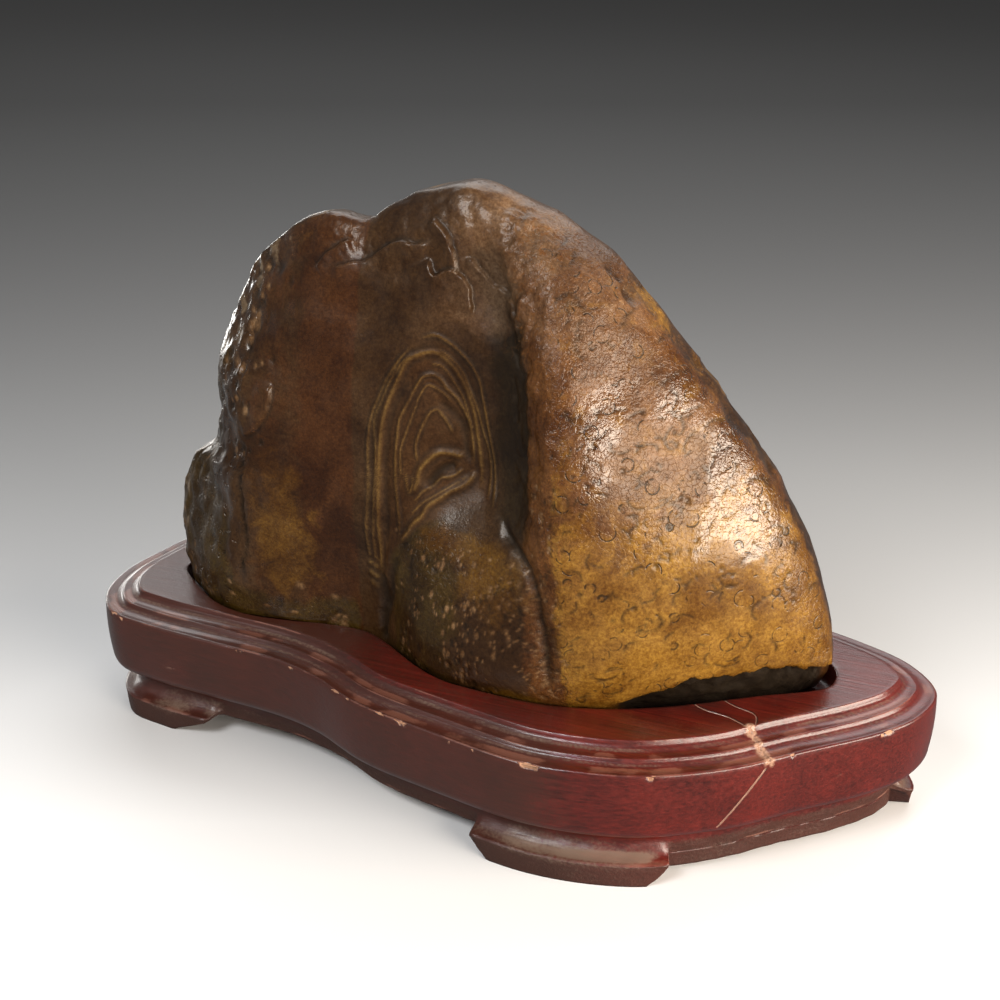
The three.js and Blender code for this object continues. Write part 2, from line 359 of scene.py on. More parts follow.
FRONT = [
    # left end and its low lobe
    (-127, -2, 56), (-128, 0, 80), (-119, 1, 104), (-114, -12, 56), (-104, -17, 56),
    # broad smooth face
    (-108, -14, 80), (-108, -10, 110), (-104, -7, 140), (-96, -2, 165), (-82, 2, 188),
    (-71, -17, 56), (-72, -18, 85), (-71, -17, 115), (-70, -14, 145), (-68, -9, 175),
    (-63, 0, 200),
    # the part that carries the ringed hollow
    (-42, -14, 56), (-42, -17, 85), (-40, -18, 115), (-40, -17, 145), (-39, -11, 175),
    (-36, -3, 203), (-18, -18, 130), (-17, -17, 160), (-14, -12, 188), (-8, -5, 212),
    # gully between it and the near corner
    (12, -17, 125), (12, -15, 160), (8, -9, 192),
    # low lobe under the hollow
    (-19, -28, 56), (-3, -36, 56), (13, -38, 56), (-14, -31, 85), (8, -35, 85), (9, -28, 105),
    (-10, -25, 106),
    # near corner
    (38, -38, 56), (39, -40, 85), (38, -40, 115), (38, -36, 145), (36, -28, 172), (28, -15, 200),
    # big right face
    (60, -32, 56), (62, -35, 85), (61, -33, 115), (60, -26, 145), (54, -13, 174),
    (90, -15, 56), (93, -19, 85), (91, -17, 112), (82, -9, 138), (108, -3, 58), (112, -5, 80),
    (108, -4, 104),
]

BACK = [
    (-116, 36, 56), (-114, 34, 90), (-98, 32, 135), (-80, 28, 178), (-65, 38, 56),
    (-64, 39, 110), (-66, 34, 150), (-54, 25, 195), (-20, 40, 60), (-20, 43, 110),
    (-22, 40, 155), (-22, 29, 205), (30, 44, 60), (28, 48, 110), (22, 42, 155), (16, 30, 200),
    (76, 43, 60), (78, 42, 95), (64, 38, 140), (50, 32, 175), (106, 36, 60), (104, 33, 100),
]


class Field:
    """A smooth field over the front view that takes each given value at its place."""

    SCALE = 100.0  # length that distances are measured in, in millimetres

    def __init__(self, places: np.ndarray, values: np.ndarray) -> None:
        """Solves for the field's weights.

        Args:
            places: rows of x and z.
            values: the value that the field takes at each.
        """
        self.places = places
        count = len(places)
        trend = np.column_stack([np.ones(count), places])
        matrix = np.zeros((count + 3, count + 3))
        matrix[:count, :count] = self._pull(places)
        matrix[:count, count:] = trend
        matrix[count:, :count] = trend.T
        self.weights = np.linalg.solve(matrix, np.concatenate([values, np.zeros(3)]))

    def _pull(self, at: np.ndarray) -> np.ndarray:
        """The thin-plate kernel between points and the field's places."""
        square = ((at[:, None, :] - self.places[None]) ** 2).sum(axis=2) / self.SCALE ** 2
        return square * np.log(np.maximum(square, 1e-12))

    def at(self, points: np.ndarray) -> np.ndarray:
        """Reads the field.

        Args:
            points: rows of x and z.

        Returns:
            The field's value at each.
        """
        count = len(self.places)
        trend = np.column_stack([np.ones(len(points)), points])
        return self._pull(points) @ self.weights[:count] + trend @ self.weights[count:]


@dataclass
class RockForm:
    """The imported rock's form: an outline, and how deep the rock is before and behind it."""

    centre: tuple[float, float, float] = (-6.0, 8.0, 126.0)
    curl: float = 5.5
    lean: float = 2.5
    half_length: float = 132.0
    fullness: float = 0.75
    bearings: np.ndarray = field(init=False)
    radii: np.ndarray = field(init=False)
    front: Field = field(init=False)
    back: Field = field(init=False)

    def __post_init__(self) -> None:
        """Fits the outline and the two depth fields."""
        middle = np.array([self.centre[0], self.centre[2]])
        rim = spline(np.array(OUTLINE, float), closed=True, steps=26) - middle
        order = np.argsort(np.arctan2(rim[:, 1], rim[:, 0]))
        self.bearings = np.arctan2(rim[:, 1], rim[:, 0])[order]
        self.radii = np.hypot(rim[:, 0], rim[:, 1])[order]
        self.front = self._side(np.array(FRONT, float))
        self.back = self._side(np.array(BACK, float))

    def _side(self, marks: np.ndarray) -> Field:
        """Fits one side's depth to its landmarks.

        Args:
            marks: rows of x, y and z on that side.

        Returns:
            The depth as a field over the front view.
        """
        places = marks[:, [0, 2]]
        bulge = self.bulge(self.rim_share(places))
        return Field(places, (marks[:, 1] - self.middle(marks[:, 0])) / bulge)

    def radius(self, bearing: np.ndarray) -> np.ndarray:
        """Radius of the outline seen from the front."""
        return np.interp(bearing, self.bearings, self.radii, period=2 * math.pi)

    def rim_share(self, places: np.ndarray) -> np.ndarray:
        """How near the outline each place is.

        Args:
            places: rows of x and z.

        Returns:
            Share of the way from the centre to the outline.
        """
        across = places - np.array([self.centre[0], self.centre[2]])
        reach = self.radius(np.arctan2(across[:, 1], across[:, 0]))
        return np.hypot(across[:, 0], across[:, 1]) / reach

    def middle(self, x: np.ndarray) -> np.ndarray:
        """Where the front meets the back, as y: both ends curl a little to the back."""
        share = (x - self.centre[0]) / self.half_length
        return self.centre[1] + self.lean * share + self.curl * share ** 2

    def bulge(self, rim_share: np.ndarray) -> np.ndarray:
        """How much of its full depth the rock has at a share of the way to its outline."""
        return np.maximum(0.0, 1 - rim_share ** 2) ** (self.fullness / 2)

    def skin(self, directions: np.ndarray) -> np.ndarray:
        """Spreads a ball over the rock.

        Args:
            directions: unit directions from the rock's centre.

        Returns:
            Places on the skin, one for each direction.
        """
        bearing = np.arctan2(directions[:, 2], directions[:, 0])
        reach = self.radius(bearing) * np.hypot(directions[:, 0], directions[:, 2])
        x = self.centre[0] + reach * np.cos(bearing)
        z = self.centre[2] + reach * np.sin(bearing)
        places = np.column_stack([x, z])
        depth = np.where(directions[:, 1] < 0, self.front.at(places), self.back.at(places))
        y = self.middle(x) + np.abs(directions[:, 1]) ** self.fullness * depth
        return np.column_stack([x, y, z])

    def section(self, z: float, steps: int = 160) -> np.ndarray:
        """Cuts the rock level.

        Args:
            z: height of the cut.
            steps: places along each side.

        Returns:
            The section as rows of x and y, anticlockwise.
        """
        across = np.arange(-145.0, 145.0, 0.1)
        inside = across[self.rim_share(np.column_stack([across, np.full(len(across), z)])) < 1]
        turn = (1 - np.cos(np.linspace(0, math.pi, steps, endpoint=False))) / 2
        x = inside[0] + (inside[-1] - inside[0]) * turn
        sides = []
        for depth, run in ((self.front, x), (self.back, x[0] + x[-1] - x)):
            places = np.column_stack([run, np.full(len(run), z)])
            bulge = self.bulge(self.rim_share(places))
            sides.append(np.column_stack([run, self.middle(run) + bulge * depth.at(places)]))
        return np.concatenate(sides)


# ---------------------------------------------------------------------------------------------
# The rock's own surface

# Thin ridges of the ringed hollow, outermost first, as x and z: (width, height, places).
RINGS = [
    (0.8, 0.45, [(-38, 70), (-40, 84), (-41, 100), (-40, 117), (-40, 131), (-38, 144), (-35, 152),
                 (-32, 159), (-27, 167), (-22, 173)]),
    (0.8, 0.40, [(-37, 74), (-38, 92), (-38, 112), (-37, 129), (-37, 143), (-34, 151), (-31, 158),
                 (-26, 166), (-21, 171)]),
    (1.3, 0.55, [(-35, 78), (-35, 92), (-36, 104), (-36, 121), (-35, 135), (-33, 146), (-30, 154),
                 (-27, 161), (-24, 167), (-19, 170), (-14, 171), (-10, 169), (-6, 165), (-3, 160),
                 (-1, 155), (1, 148), (2, 140), (3, 132), (4, 121)]),
    (0.8, 0.50, [(-26, 97), (-27, 109), (-29, 120), (-29, 131), (-28, 139), (-27, 145), (-24, 151),
                 (-21, 157), (-18, 162), (-15, 163), (-12, 162), (-9, 158), (-6, 155), (-3, 150),
                 (-1, 144), (0, 137), (0, 129)]),
    (0.6, 0.30, [(-27, 122), (-27, 133), (-25, 139), (-22, 147), (-19, 155), (-16, 159),
                 (-13, 158), (-10, 156), (-7, 152)]),
    (0.7, 0.45, [(-20, 129), (-21, 135), (-20, 139), (-18, 144), (-15, 149), (-13, 150),
                 (-11, 148), (-9, 145), (-7, 141)]),
    (0.7, 0.30, [(-25, 125), (-24, 120), (-23, 118), (-22, 121), (-22, 125)]),
    (1.5, 0.80, [(-22, 118), (-20, 122), (-19, 127), (-16, 131), (-12, 134), (-8, 134), (-3, 133)]),
    (0.7, 0.40, [(-21, 115), (-18, 119), (-14, 122), (-11, 125), (-7, 126), (-3, 129)]),
    (0.6, 0.30, [(-22, 110), (-18, 115), (-11, 120), (-5, 124), (-1, 127)]),
    (1.3, 0.75, [(-26, 99), (-23, 103), (-20, 108), (-17, 111), (-15, 115), (-11, 118), (-7, 121),
                 (-3, 123), (0, 126), (1, 129)]),
    (0.8, 0.40, [(-20, 175), (-14, 177), (-9, 175), (-5, 172), (-1, 168), (2, 163), (4, 155),
                 (6, 147), (8, 137), (9, 127), (10, 117)]),
    (0.7, 0.35, [(-14, 173), (-9, 170), (-4, 165), (-1, 158), (2, 151), (4, 144), (6, 138),
                 (7, 129), (7, 119)]),
    (0.6, 0.25, [(-16, 167), (-11, 166), (-7, 161), (-4, 156), (-2, 150), (0, 143)]),
]

# The hollow that the rings lie in.
HOLLOW = [(-40, 84), (-41, 110), (-40, 131), (-37, 146), (-30, 162), (-21, 173), (-12, 176),
          (-3, 170), (3, 157), (8, 138), (10, 118), (0, 114), (-12, 108), (-24, 97), (-34, 84)]

# Grooves on the front, as x and z: (width, depth, places).
GROOVES = [
    # long gully between the ringed hollow and the near corner
    (6.5, 2.2, [(-3, 211), (3, 200), (9, 187), (13, 175), (17, 159), (20, 142), (21, 126),
                (25, 112), (30, 103)]),
    (2.6, 0.8, [(6, 205), (10, 193), (15, 178), (19, 160), (22, 142), (23, 124)]),
    # crease down the lower lobe's right side
    (1.5, 1.6, [(12, 119), (17, 114), (24, 109), (30, 104), (34, 95), (37, 80), (39, 58)]),
    (5.0, 1.2, [(26, 112), (33, 98), (38, 82), (41, 62)]),
    # narrow gully at the hollow's lower left, down to the foot
    (2.4, 2.2, [(-36, 86), (-35, 78), (-34, 70), (-36, 60), (-37, 50)]),
    (1.8, 1.4, [(-26, 95), (-28, 86), (-31, 76), (-33, 66)]),
    # valleys inside the rings
    (1.7, 0.9, [(-13, 154), (-9, 151), (-5, 147), (-3, 141), (-2, 135), (-2, 130)]),
    (1.8, 1.6, [(-17, 121), (-13, 126), (-9, 129), (-5, 130)]),
    # soft valley across the broad left face
    (8.0, 1.1, [(-36, 186), (-48, 172), (-64, 160), (-82, 150)]),
    (1.6, 0.6, [(-32, 92), (-33, 108), (-33, 128), (-31, 145), (-26, 156), (-20, 165)]),
    (1.4, 0.5, [(-39, 96), (-39, 120), (-38, 138), (-34, 153), (-28, 165)]),
    # crack down from the scallop on the left ridge
    (0.8, 1.5, [(-94, 124), (-94, 112), (-93, 90), (-94, 66)]),
    # short nicks of the upper gully
    (0.8, 0.7, [(14, 176), (17, 172), (19, 166)]),
    (0.7, 0.6, [(17, 178), (20, 174), (22, 169)]),
    (0.9, 0.7, [(14, 168), (16, 158), (17, 150)]),
]

# Where the wax is thickest on the front, as x and z: (width, places).
GLOSS = [
    (7.0, [(47, 170), (52, 152), (60, 131)]),
    (10.5, [(63, 168), (77, 158), (93, 142), (104, 126), (109, 110)]),
    (8.0, [(84, 126), (95, 124), (104, 116)]),
    (6.0, [(-74, 203), (-84, 196), (-93, 187), (-101, 172), (-108, 152)]),
]

# Broken edges of thin layers, higher on the left of their run: (rise, fade, places).
FLAKES = [
    (0.9, 7.0, [(-19, 207), (-25, 206), (-32, 206), (-37, 203), (-44, 198), (-50, 196), (-60, 193)]),
    (1.2, 5.0, [(-1, 184), (-2, 190), (-4, 196), (-8, 199), (-12, 199), (-16, 197), (-19, 203)]),
    (1.1, 5.0, [(16, 184), (14, 190), (9, 194), (5, 195), (2, 198), (-2, 203), (-6, 204)]),
    (1.3, 4.0, [(-7, 198), (-9, 204), (-12, 210), (-19, 216)]),
    (1.1, 8.0, [(-94, 127), (-88, 130), (-84, 135), (-81, 141), (-80, 150)]),
    (0.8, 6.0, [(-52, 204), (-60, 199), (-66, 192)]),
    (0.8, 4.0, [(20, 196), (17, 191), (16, 184), (18, 178)]),
]

# Where a pale reflection is painted on the left ridge and its end, as x and z: (width, places).
PAINTED_REFLECTION = [
    (6.5, [(-72, 204), (-84, 197), (-94, 187), (-101, 173), (-107, 156), (-109, 140)]),
    (3.5, [(-129, 104), (-134, 90), (-134, 72)]),
    (3.0, [(-117, 106), (-120, 92), (-119, 78)]),
]

# Middle of the pitted band beside the left ridge, as x and z.
RIDGE_PITS = [(-84, 194), (-92, 174), (-98, 152), (-103, 132), (-107, 112)]


class Grain(Enum):
    """How a patch of pits is scattered: count, smallest and largest radius, stretch upwards."""

    RIDGE = (110, 0.9, 2.0, 1.3)
    LOBE = (330, 0.35, 0.95, 1.9)
    COLUMN = (150, 0.4, 1.0, 1.5)
    FACE = (45, 0.5, 1.3, 1.0)
    FOOT = (60, 0.8, 1.8, 1.2)
    BACK = (170, 1.8, 4.2, 1.1)


@dataclass
class Stain:
    """One colour of the rock: where it lies is a mask of the same name on the mesh."""

    name: str
    colour: str
    ragged: float = 0.6  # how much its edge breaks up into the colours under it


class ScholarRock:
    """The rock: one water-worn stone, hollowed, ringed, pitted and waxed."""

    NODE = "stone"
    NAME = "waxed_rock"
    FLAT = 45.85  # height of the flat that it stands on
    BALL_SPLITS = 55  # splits along each edge of the box that the skin is spread on
    FRONT_PULL = 0.3  # how much more closely the middle of each side is covered than its rim
    BACK_LUMPS = 2.2  # height of the back's broad lumps
    RUGGED = 1.5  # height of the small lumps in the front's rugged bands
    RING_HEIGHT = 1.25  # what the heights of RINGS are multiplied by
    FLAKE_HEIGHT = 1.5  # what the heights of FLAKES are multiplied by
    HOLLOW_DEPTH = 1.5
    UNDERCUT = 5.5  # depth of the undercut below the right face
    SCAR = ((8.0, 69.5), (3.6, 5.6))  # its middle as y and z, and its half width and height
    SCAR_FROM = 112.0  # x that it lies beyond

    def __init__(self, form: RockForm, shift: np.ndarray) -> None:
        """Sets up the rock's noises and its seed.

        Args:
            form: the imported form.
            shift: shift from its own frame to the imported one.
        """
        self.form = form
        self.shift = shift
        self.noise = Noise(11)
        self.fine = Noise(12)
        self.random = np.random.default_rng(31)

    # -- skin ----------------------------------------------------------------------------------

    def _ball(self) -> bmesh.types.BMesh:
        """Makes a ball of even quads, drawn together towards the front and the back.

        Returns:
            The ball, of radius 1.
        """
        splits = self.BALL_SPLITS
        slant = np.tan(np.linspace(-math.pi / 4, math.pi / 4, splits + 1))
        across, up = (a.ravel() for a in np.meshgrid(slant, slant, indexing="ij"))
        level = np.ones_like(across)
        sides = [(level, across, up), (-level, up, across), (up, level, across),
                 (across, -level, up), (across, up, level), (up, across, -level)]
        bm = bmesh.new()
        for side in sides:
            points = np.column_stack(side)
            points /= np.linalg.norm(points, axis=1, keepdims=True)
            corners = [bm.verts.new(p) for p in self._draw_together(points)]
            for i, j in itertools.product(range(splits), repeat=2):
                a = i * (splits + 1) + j
                quad = (a, a + splits + 1, a + splits + 2, a + 1)
                bm.faces.new([corners[k] for k in quad])
        bmesh.ops.remove_doubles(bm, verts=bm.verts, dist=1e-5)
        bmesh.ops.recalc_face_normals(bm, faces=bm.faces)
        return bm

    def _draw_together(self, points: np.ndarray) -> np.ndarray:
        """Moves directions towards the nearer of the poles that face front and back.

        Args:
            points: unit directions.

        Returns:
            The moved directions.
        """
        turn = np.arccos(np.clip(np.abs(points[:, 1]), 0.0, 1.0))
        drawn = turn - self.FRONT_PULL / 2 * np.sin(2 * turn)
        flat = points[:, [0, 2]]
        flat = flat / np.maximum(np.linalg.norm(flat, axis=1, keepdims=True), 1e-9)
        flat = flat * np.sin(drawn)[:, None]
        depth = np.cos(drawn) * np.where(points[:, 1] < 0, -1.0, 1.0)
        return np.column_stack([flat[:, 0], depth, flat[:, 1]])

    def _refine_skin(self, bm: bmesh.types.BMesh) -> None:
        """Makes the mesh finer in front, and finest where the detail is.

        Args:
            bm: the ball.
        """

        def in_front(at: np.ndarray) -> np.ndarray:
            """True on the whole front that stands clear of the stand."""
            places = self.form.skin(at / np.linalg.norm(at, axis=1, keepdims=True))
            return (at[:, 1] < -0.02) & (places[:, 2] > 46)

        def on_detail(at: np.ndarray) -> np.ndarray:
            """True on the ringed hollow, the lobe under it and the right face."""
            x, y, z = self.form.skin(at / np.linalg.norm(at, axis=1, keepdims=True)).T
            rings = (x > -44) & (x < 13) & (z > 88) & (z < 180)
            lobe = (x > -26) & (x <= 36) & (z > 48) & (z < 110)
            face = (x > 36) & (x < 118) & (z > 60) & (z < 165)
            gully = (x > -22) & (x <= 36) & (z > 105) & (z < 222)
            flaked = (x > -66) & (x < 0) & (z > 190) & (z < 214)
            scallop = (x > -99) & (x < -76) & (z > 118) & (z < 154)
            fine = rings | lobe | face | gully | flaked | scallop
            return (at[:, 1] < -0.1) & fine

        refine(bm, in_front)
        refine(bm, on_detail)

    # -- sculpting -----------------------------------------------------------------------------

    def _corner(self, z: np.ndarray) -> np.ndarray:
        """Where the near corner runs, as x for each height."""
        heights = [50, 66, 90, 112, 133, 150, 166, 181, 196, 210]
        return np.interp(z, heights, [44, 43, 41, 39, 37, 37, 35, 33, 28, 22])

    def _relief(self, base: np.ndarray, front: np.ndarray) -> tuple[np.ndarray, dict]:
        """Large and middling relief.

        Args:
            base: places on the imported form.
            front: 1 on the front, 0 on the back.

        Returns:
            How far each place moves out along its normal, and masks by name.
        """
        flat = base[:, [0, 2]]
        inside = self._inside(HOLLOW, flat)
        ring_rise, ridges, valleys = self._rings(flat)
        groove_drop, dark = self._grooves(base)
        flake_rise, shadows, edges = self._flakes(base)
        scar_rise, scar_edge = self._scar(base)
        knob = np.hypot((base[:, 0] + 29) / 3.4, (base[:, 2] - 91) / 6.5)
        rise = self._swellings(base, front) + scar_rise
        rise += front * (ring_rise - self.HOLLOW_DEPTH * ease(inside, -3.0, 9.0))
        rise += front * (flake_rise - groove_drop + 1.3 * bell(knob, 1.0))
        # painted shade: a mask of shade painted in the grooves, beside the rings and under the edges of
        # flakes
        masks = {"ridge": ridges * front, "hollow": ease(inside, -1.0, 6.0) * front,
                 "dark": np.maximum.reduce([dark, valleys, shadows]) * front,
                 "edge": np.maximum(edges, scar_edge) * front}
        return rise, masks

    def _swellings(self, base: np.ndarray, front: np.ndarray) -> np.ndarray:
        """The broad lumps of the whole rock, and the rugged bands of its front.

        Args:
            base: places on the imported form.
            front: 1 on the front, 0 on the back.

        Returns:
            How far each place moves out, in millimetres.
        """
        x, z = base[:, 0], base[:, 2]
        tall = base * [1, 1, 0.7]
        rise = 0.9 * self.noise.layered(base, 44.0) * (1 - 0.5 * front)
        rise += 0.30 * self.fine.plain(base, 11.0)
        rise += (1 - front) * self.BACK_LUMPS * self.noise.layered(tall + 80, 30.0)
        rugged = bell(np.abs(x - self._corner(z) + 9), 9.0) * ease(z, 70, 110)
        rugged = np.maximum(rugged, 0.3 * ease(z, 178, 200))
        rugged = np.maximum(rugged, 0.7 * ease(x, -86, -98))
        return rise + front * rugged * self.RUGGED * self.noise.layered(tall + 33, 6.5)

    def _rings(self, flat: np.ndarray) -> tuple[np.ndarray, np.ndarray, np.ndarray]:
        """The thin ridges of the ringed hollow.

        Args:
            flat: places seen from the front, as x and z.

        Returns:
            How far they rise, the mask of their crests, and the mask of shade painted beside them.
        """
        rise = np.zeros(len(flat))
        ridges = np.zeros(len(flat))
        valleys = np.zeros(len(flat))
        for width, height, places in RINGS:
            distance, along, _ = Trail(places).measure(flat, 4 * width)
            ends = ease(along, 0.0, 0.08) * ease(along, 1.0, 0.92)
            rise += self.RING_HEIGHT * height * bell(distance, 0.75 * width) * ends
            ridges = np.maximum(ridges, bell(distance, 0.45 * width) * ends)
            beside = np.abs(distance - 1.4 * width)
            valleys = np.maximum(valleys, bell(beside, 0.6 * width) * ends)
        return rise, ridges, 0.45 * valleys * (1 - ridges)

    def _grooves(self, base: np.ndarray) -> tuple[np.ndarray, np.ndarray]:
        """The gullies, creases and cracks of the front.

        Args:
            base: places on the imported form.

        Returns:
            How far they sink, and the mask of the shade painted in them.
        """
        drop = np.zeros(len(base))
        dark = np.zeros(len(base))
        bend = 1.3 * self.fine.layered(base * [1, 1, 0.8] + 71, 8.0)
        bent = base[:, [0, 2]] + bend[:, None] * [1.0, 0.4]
        for width, depth, places in GROOVES:
            strength = Trail(places).strength(bent, width, taper=0.15)
            drop += depth * strength
            # how strongly shade is painted in this groove: half in the broad ones, none in the broadest
            tint = min(0.8, 0.4 + 0.25 * depth) * (0.5 if width > 3 else 1.0) * (width < 7)
            dark = np.maximum(dark, strength * tint)
        return drop, dark

    def _flakes(self, base: np.ndarray) -> tuple[np.ndarray, np.ndarray, np.ndarray]:
        """The broken edges of thin layers.

        Args:
            base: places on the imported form.

        Returns:
            How far the layers rise, and the masks of the shade under their edges and of the
            edges.
        """
        rise = np.zeros(len(base))
        shade = np.zeros(len(base))
        edges = np.zeros(len(base))
        wobble = 0.5 * self.fine.plain(base, 3.0)
        for step, fade, places in FLAKES:
            distance, along, side = Trail(places).measure(base[:, [0, 2]], 3 * fade)
            signed = distance * side + wobble
            ends = ease(along, 0.0, 0.12) * ease(along, 1.0, 0.88)
            shelf = ease(signed, -0.5, 0.5) * bell(np.abs(signed), fade)
            rise += self.FLAKE_HEIGHT * step * shelf * ends
            shade = np.maximum(shade, 0.55 * bell(np.abs(signed + 0.8), 0.6) * ends)
            edges = np.maximum(edges, 0.6 * bell(np.abs(signed - 0.3), 0.5) * ends)
        return rise, shade, edges

    def _scar(self, base: np.ndarray) -> tuple[np.ndarray, np.ndarray]:
        """The oval scar at the right end.

        Args:
            base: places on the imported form.

        Returns:
            How far it rises and sinks, and the mask of its rim.
        """
        (y, z), (half_width, half_height) = self.SCAR
        reach = np.hypot((base[:, 1] - y) / half_width, (base[:, 2] - z) / half_height)
        reach = np.where(base[:, 0] > self.SCAR_FROM, reach, 9.0)
        rise = 0.5 * bell(np.abs(reach - 1.0), 0.22) - 0.5 * ease(reach, 1.0, 0.6)
        return rise, 0.9 * bell(np.abs(reach - 1.0), 0.2)

    @staticmethod
    def _inside(outline: list[tuple[float, float]], flat: np.ndarray) -> np.ndarray:
        """How far inside a closed outline each place lies.

        Args:
            outline: places of the outline, as x and z.
            flat: places seen from the front, as x and z.

        Returns:
            Distance in from the outline, below 0 outside it.
        """
        loop = spline(np.array(outline, float), closed=True, steps=4)
        ends = np.roll(loop, -1, axis=0)
        best = np.full(len(flat), 1e3)
        crossings = np.zeros(len(flat), int)
        for (ax, az), (bx, bz) in zip(loop, ends):
            step = np.array([bx - ax, bz - az])
            share = np.clip((flat - (ax, az)) @ step / (step @ step), 0.0, 1.0)
            gap = flat - (ax, az) - share[:, None] * step
            best = np.minimum(best, np.linalg.norm(gap, axis=1))
            if az != bz:
                spans = (flat[:, 1] >= min(az, bz)) & (flat[:, 1] < max(az, bz))
                reach = ax + (flat[:, 1] - az) * (bx - ax) / (bz - az)
                crossings += (spans & (flat[:, 0] < reach)).astype(int)
        return np.where(crossings % 2 == 1, best, -best)

    def _pit_places(self, base: np.ndarray, front: np.ndarray) -> list[tuple]:
        """Draws the places of the pits, patch by patch.

        Args:
            base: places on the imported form.
            front: 1 on the front, 0 on the back.

        Returns:
            For each pit its vertex index, radius, and stretch upwards.
        """
        x, z = base[:, 0], base[:, 2]
        clumps = self.noise.layered(base + 50, 16.0)
        corner = self._corner(z)
        share = {
            Grain.RIDGE: front * (Trail(RIDGE_PITS).strength(base[:, [0, 2]], 10.0)
                                  + 0.3 * ease(x, -96, -108)),
            Grain.LOBE: front * ease(x, -30, -22) * ease(x, 36, 30) * ease(z, 108, 98),
            Grain.COLUMN: front * bell(np.abs(x - corner + 4), 6.0) * ease(z, 150, 110),
            Grain.FACE: front * (x > corner + 4),
            Grain.FOOT: front * ease(z, 74, 62) * (x < -50),
            Grain.BACK: 1 - front,
        }
        pits = []
        for grain, weight in share.items():
            count, low, high, stretch = grain.value
            weight = weight * (z > 50) * ease(clumps, -0.5, 0.5)
            picks = self.random.choice(len(base), count, replace=False, p=weight / weight.sum())
            for pick in picks:
                radius = low + (high - low) * self.random.random() ** 2
                pits.append((int(pick), radius, stretch))
        return pits

    def _pits(self, base: np.ndarray, front: np.ndarray) -> tuple[np.ndarray, ...]:
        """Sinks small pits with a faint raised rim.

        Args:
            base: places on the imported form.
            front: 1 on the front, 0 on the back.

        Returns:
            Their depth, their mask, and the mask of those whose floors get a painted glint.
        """
        tree = KDTree(len(base))
        for i, place in enumerate(base):
            tree.insert(place, i)
        tree.balance()
        drop = np.zeros(len(base))
        mask = np.zeros(len(base))
        bare = np.zeros(len(base))
        for pick, radius, stretch in self._pit_places(base, front):
            # some of the taller pits get a painted glint on their floors
            light = (self.random.random() < 0.32 * stretch) * (stretch > 1.1)
            centre = base[pick]
            for place, index, _ in tree.find_range(centre, 2.2 * radius * stretch):
                gap = np.subtract(place, centre)
                gap[2] /= stretch
                reach = math.sqrt(gap @ gap) / radius
                bowl = math.exp(-reach ** 4)
                rim = math.exp(-((reach - 1.35) / 0.35) ** 2)
                drop[index] = max(drop[index], 0.42 * radius * bowl) - 0.05 * radius * rim
                mask[index] = max(mask[index], bowl)
                bare[index] = max(bare[index], light * bowl ** 2)
        return drop, mask, bare * front

    def _crescents(self, base: np.ndarray, front: np.ndarray) -> tuple[np.ndarray, np.ndarray]:
        """Marks the right face with the short curved nicks that knocks left in it.

        Args:
            base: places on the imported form.
            front: 1 on the front, 0 on the back.

        Returns:
            Their depth, and their mask.
        """
        x, z = base[:, 0], base[:, 2]
        weight = front * (x > self._corner(z) + 3) * ease(x, 122, 112)
        weight = weight * (z > 56) * (z > self._brow(base) + 2)
        picks = self.random.choice(len(base), 150, replace=False, p=weight / weight.sum())
        drop = np.zeros(len(base))
        mask = np.zeros(len(base))
        flat = base[:, [0, 2]]
        for pick in picks:
            radius = 1.8 + 3.4 * self.random.random() ** 1.4
            facing = self.random.uniform(0, 2 * math.pi)
            spread = self.random.uniform(0.5, 1.5)
            near = np.flatnonzero(np.abs(flat - flat[pick]).max(axis=1) < radius + 1.5)
            gap = flat[near] - flat[pick]
            bearing = np.arctan2(gap[:, 1], gap[:, 0])
            turn = np.abs((bearing - facing + math.pi) % (2 * math.pi) - math.pi)
            arc = bell(np.abs(np.hypot(gap[:, 0], gap[:, 1]) - radius), 0.45)
            arc *= ease(turn, spread, spread * 0.6) * front[near]
            drop[near] = np.maximum(drop[near], 0.2 * arc)
            mask[near] = np.maximum(mask[near], arc)
        return drop, mask

    def _brow(self, base: np.ndarray) -> np.ndarray:
        """Finds the right face's lower edge, which the rock is undercut below.

        Args:
            base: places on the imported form.

        Returns:
            The edge's height at each place.
        """
        brow = np.interp(base[:, 0], [54, 62, 72, 84, 100, 116, 128],
                         [50, 56.5, 60, 64, 66, 65, 63])
        return brow + 2.4 * self.fine.layered(base + 3, 9.0)

    def _foot(self, base: np.ndarray, normals: np.ndarray) -> np.ndarray:
        """Sinks the rock all round its foot, and deeply below the right face's lower edge.

        Args:
            base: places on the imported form.
            normals: the form's normals there.

        Returns:
            How far each place sinks.
        """
        x, z = base[:, 0], base[:, 2]
        turned = 1.2 * ease(z, 54, 49)
        brow = self._brow(base)
        under = ease(z, brow + 0.6, brow - 2.6) * ease(x, 54, 70) * ease(normals[:, 1], 0.5, -0.1)
        return turned + (self.UNDERCUT + 1.2 * self.fine.layered(base + 41, 3.5)) * under

    # -- colour masks --------------------------------------------------------------------------

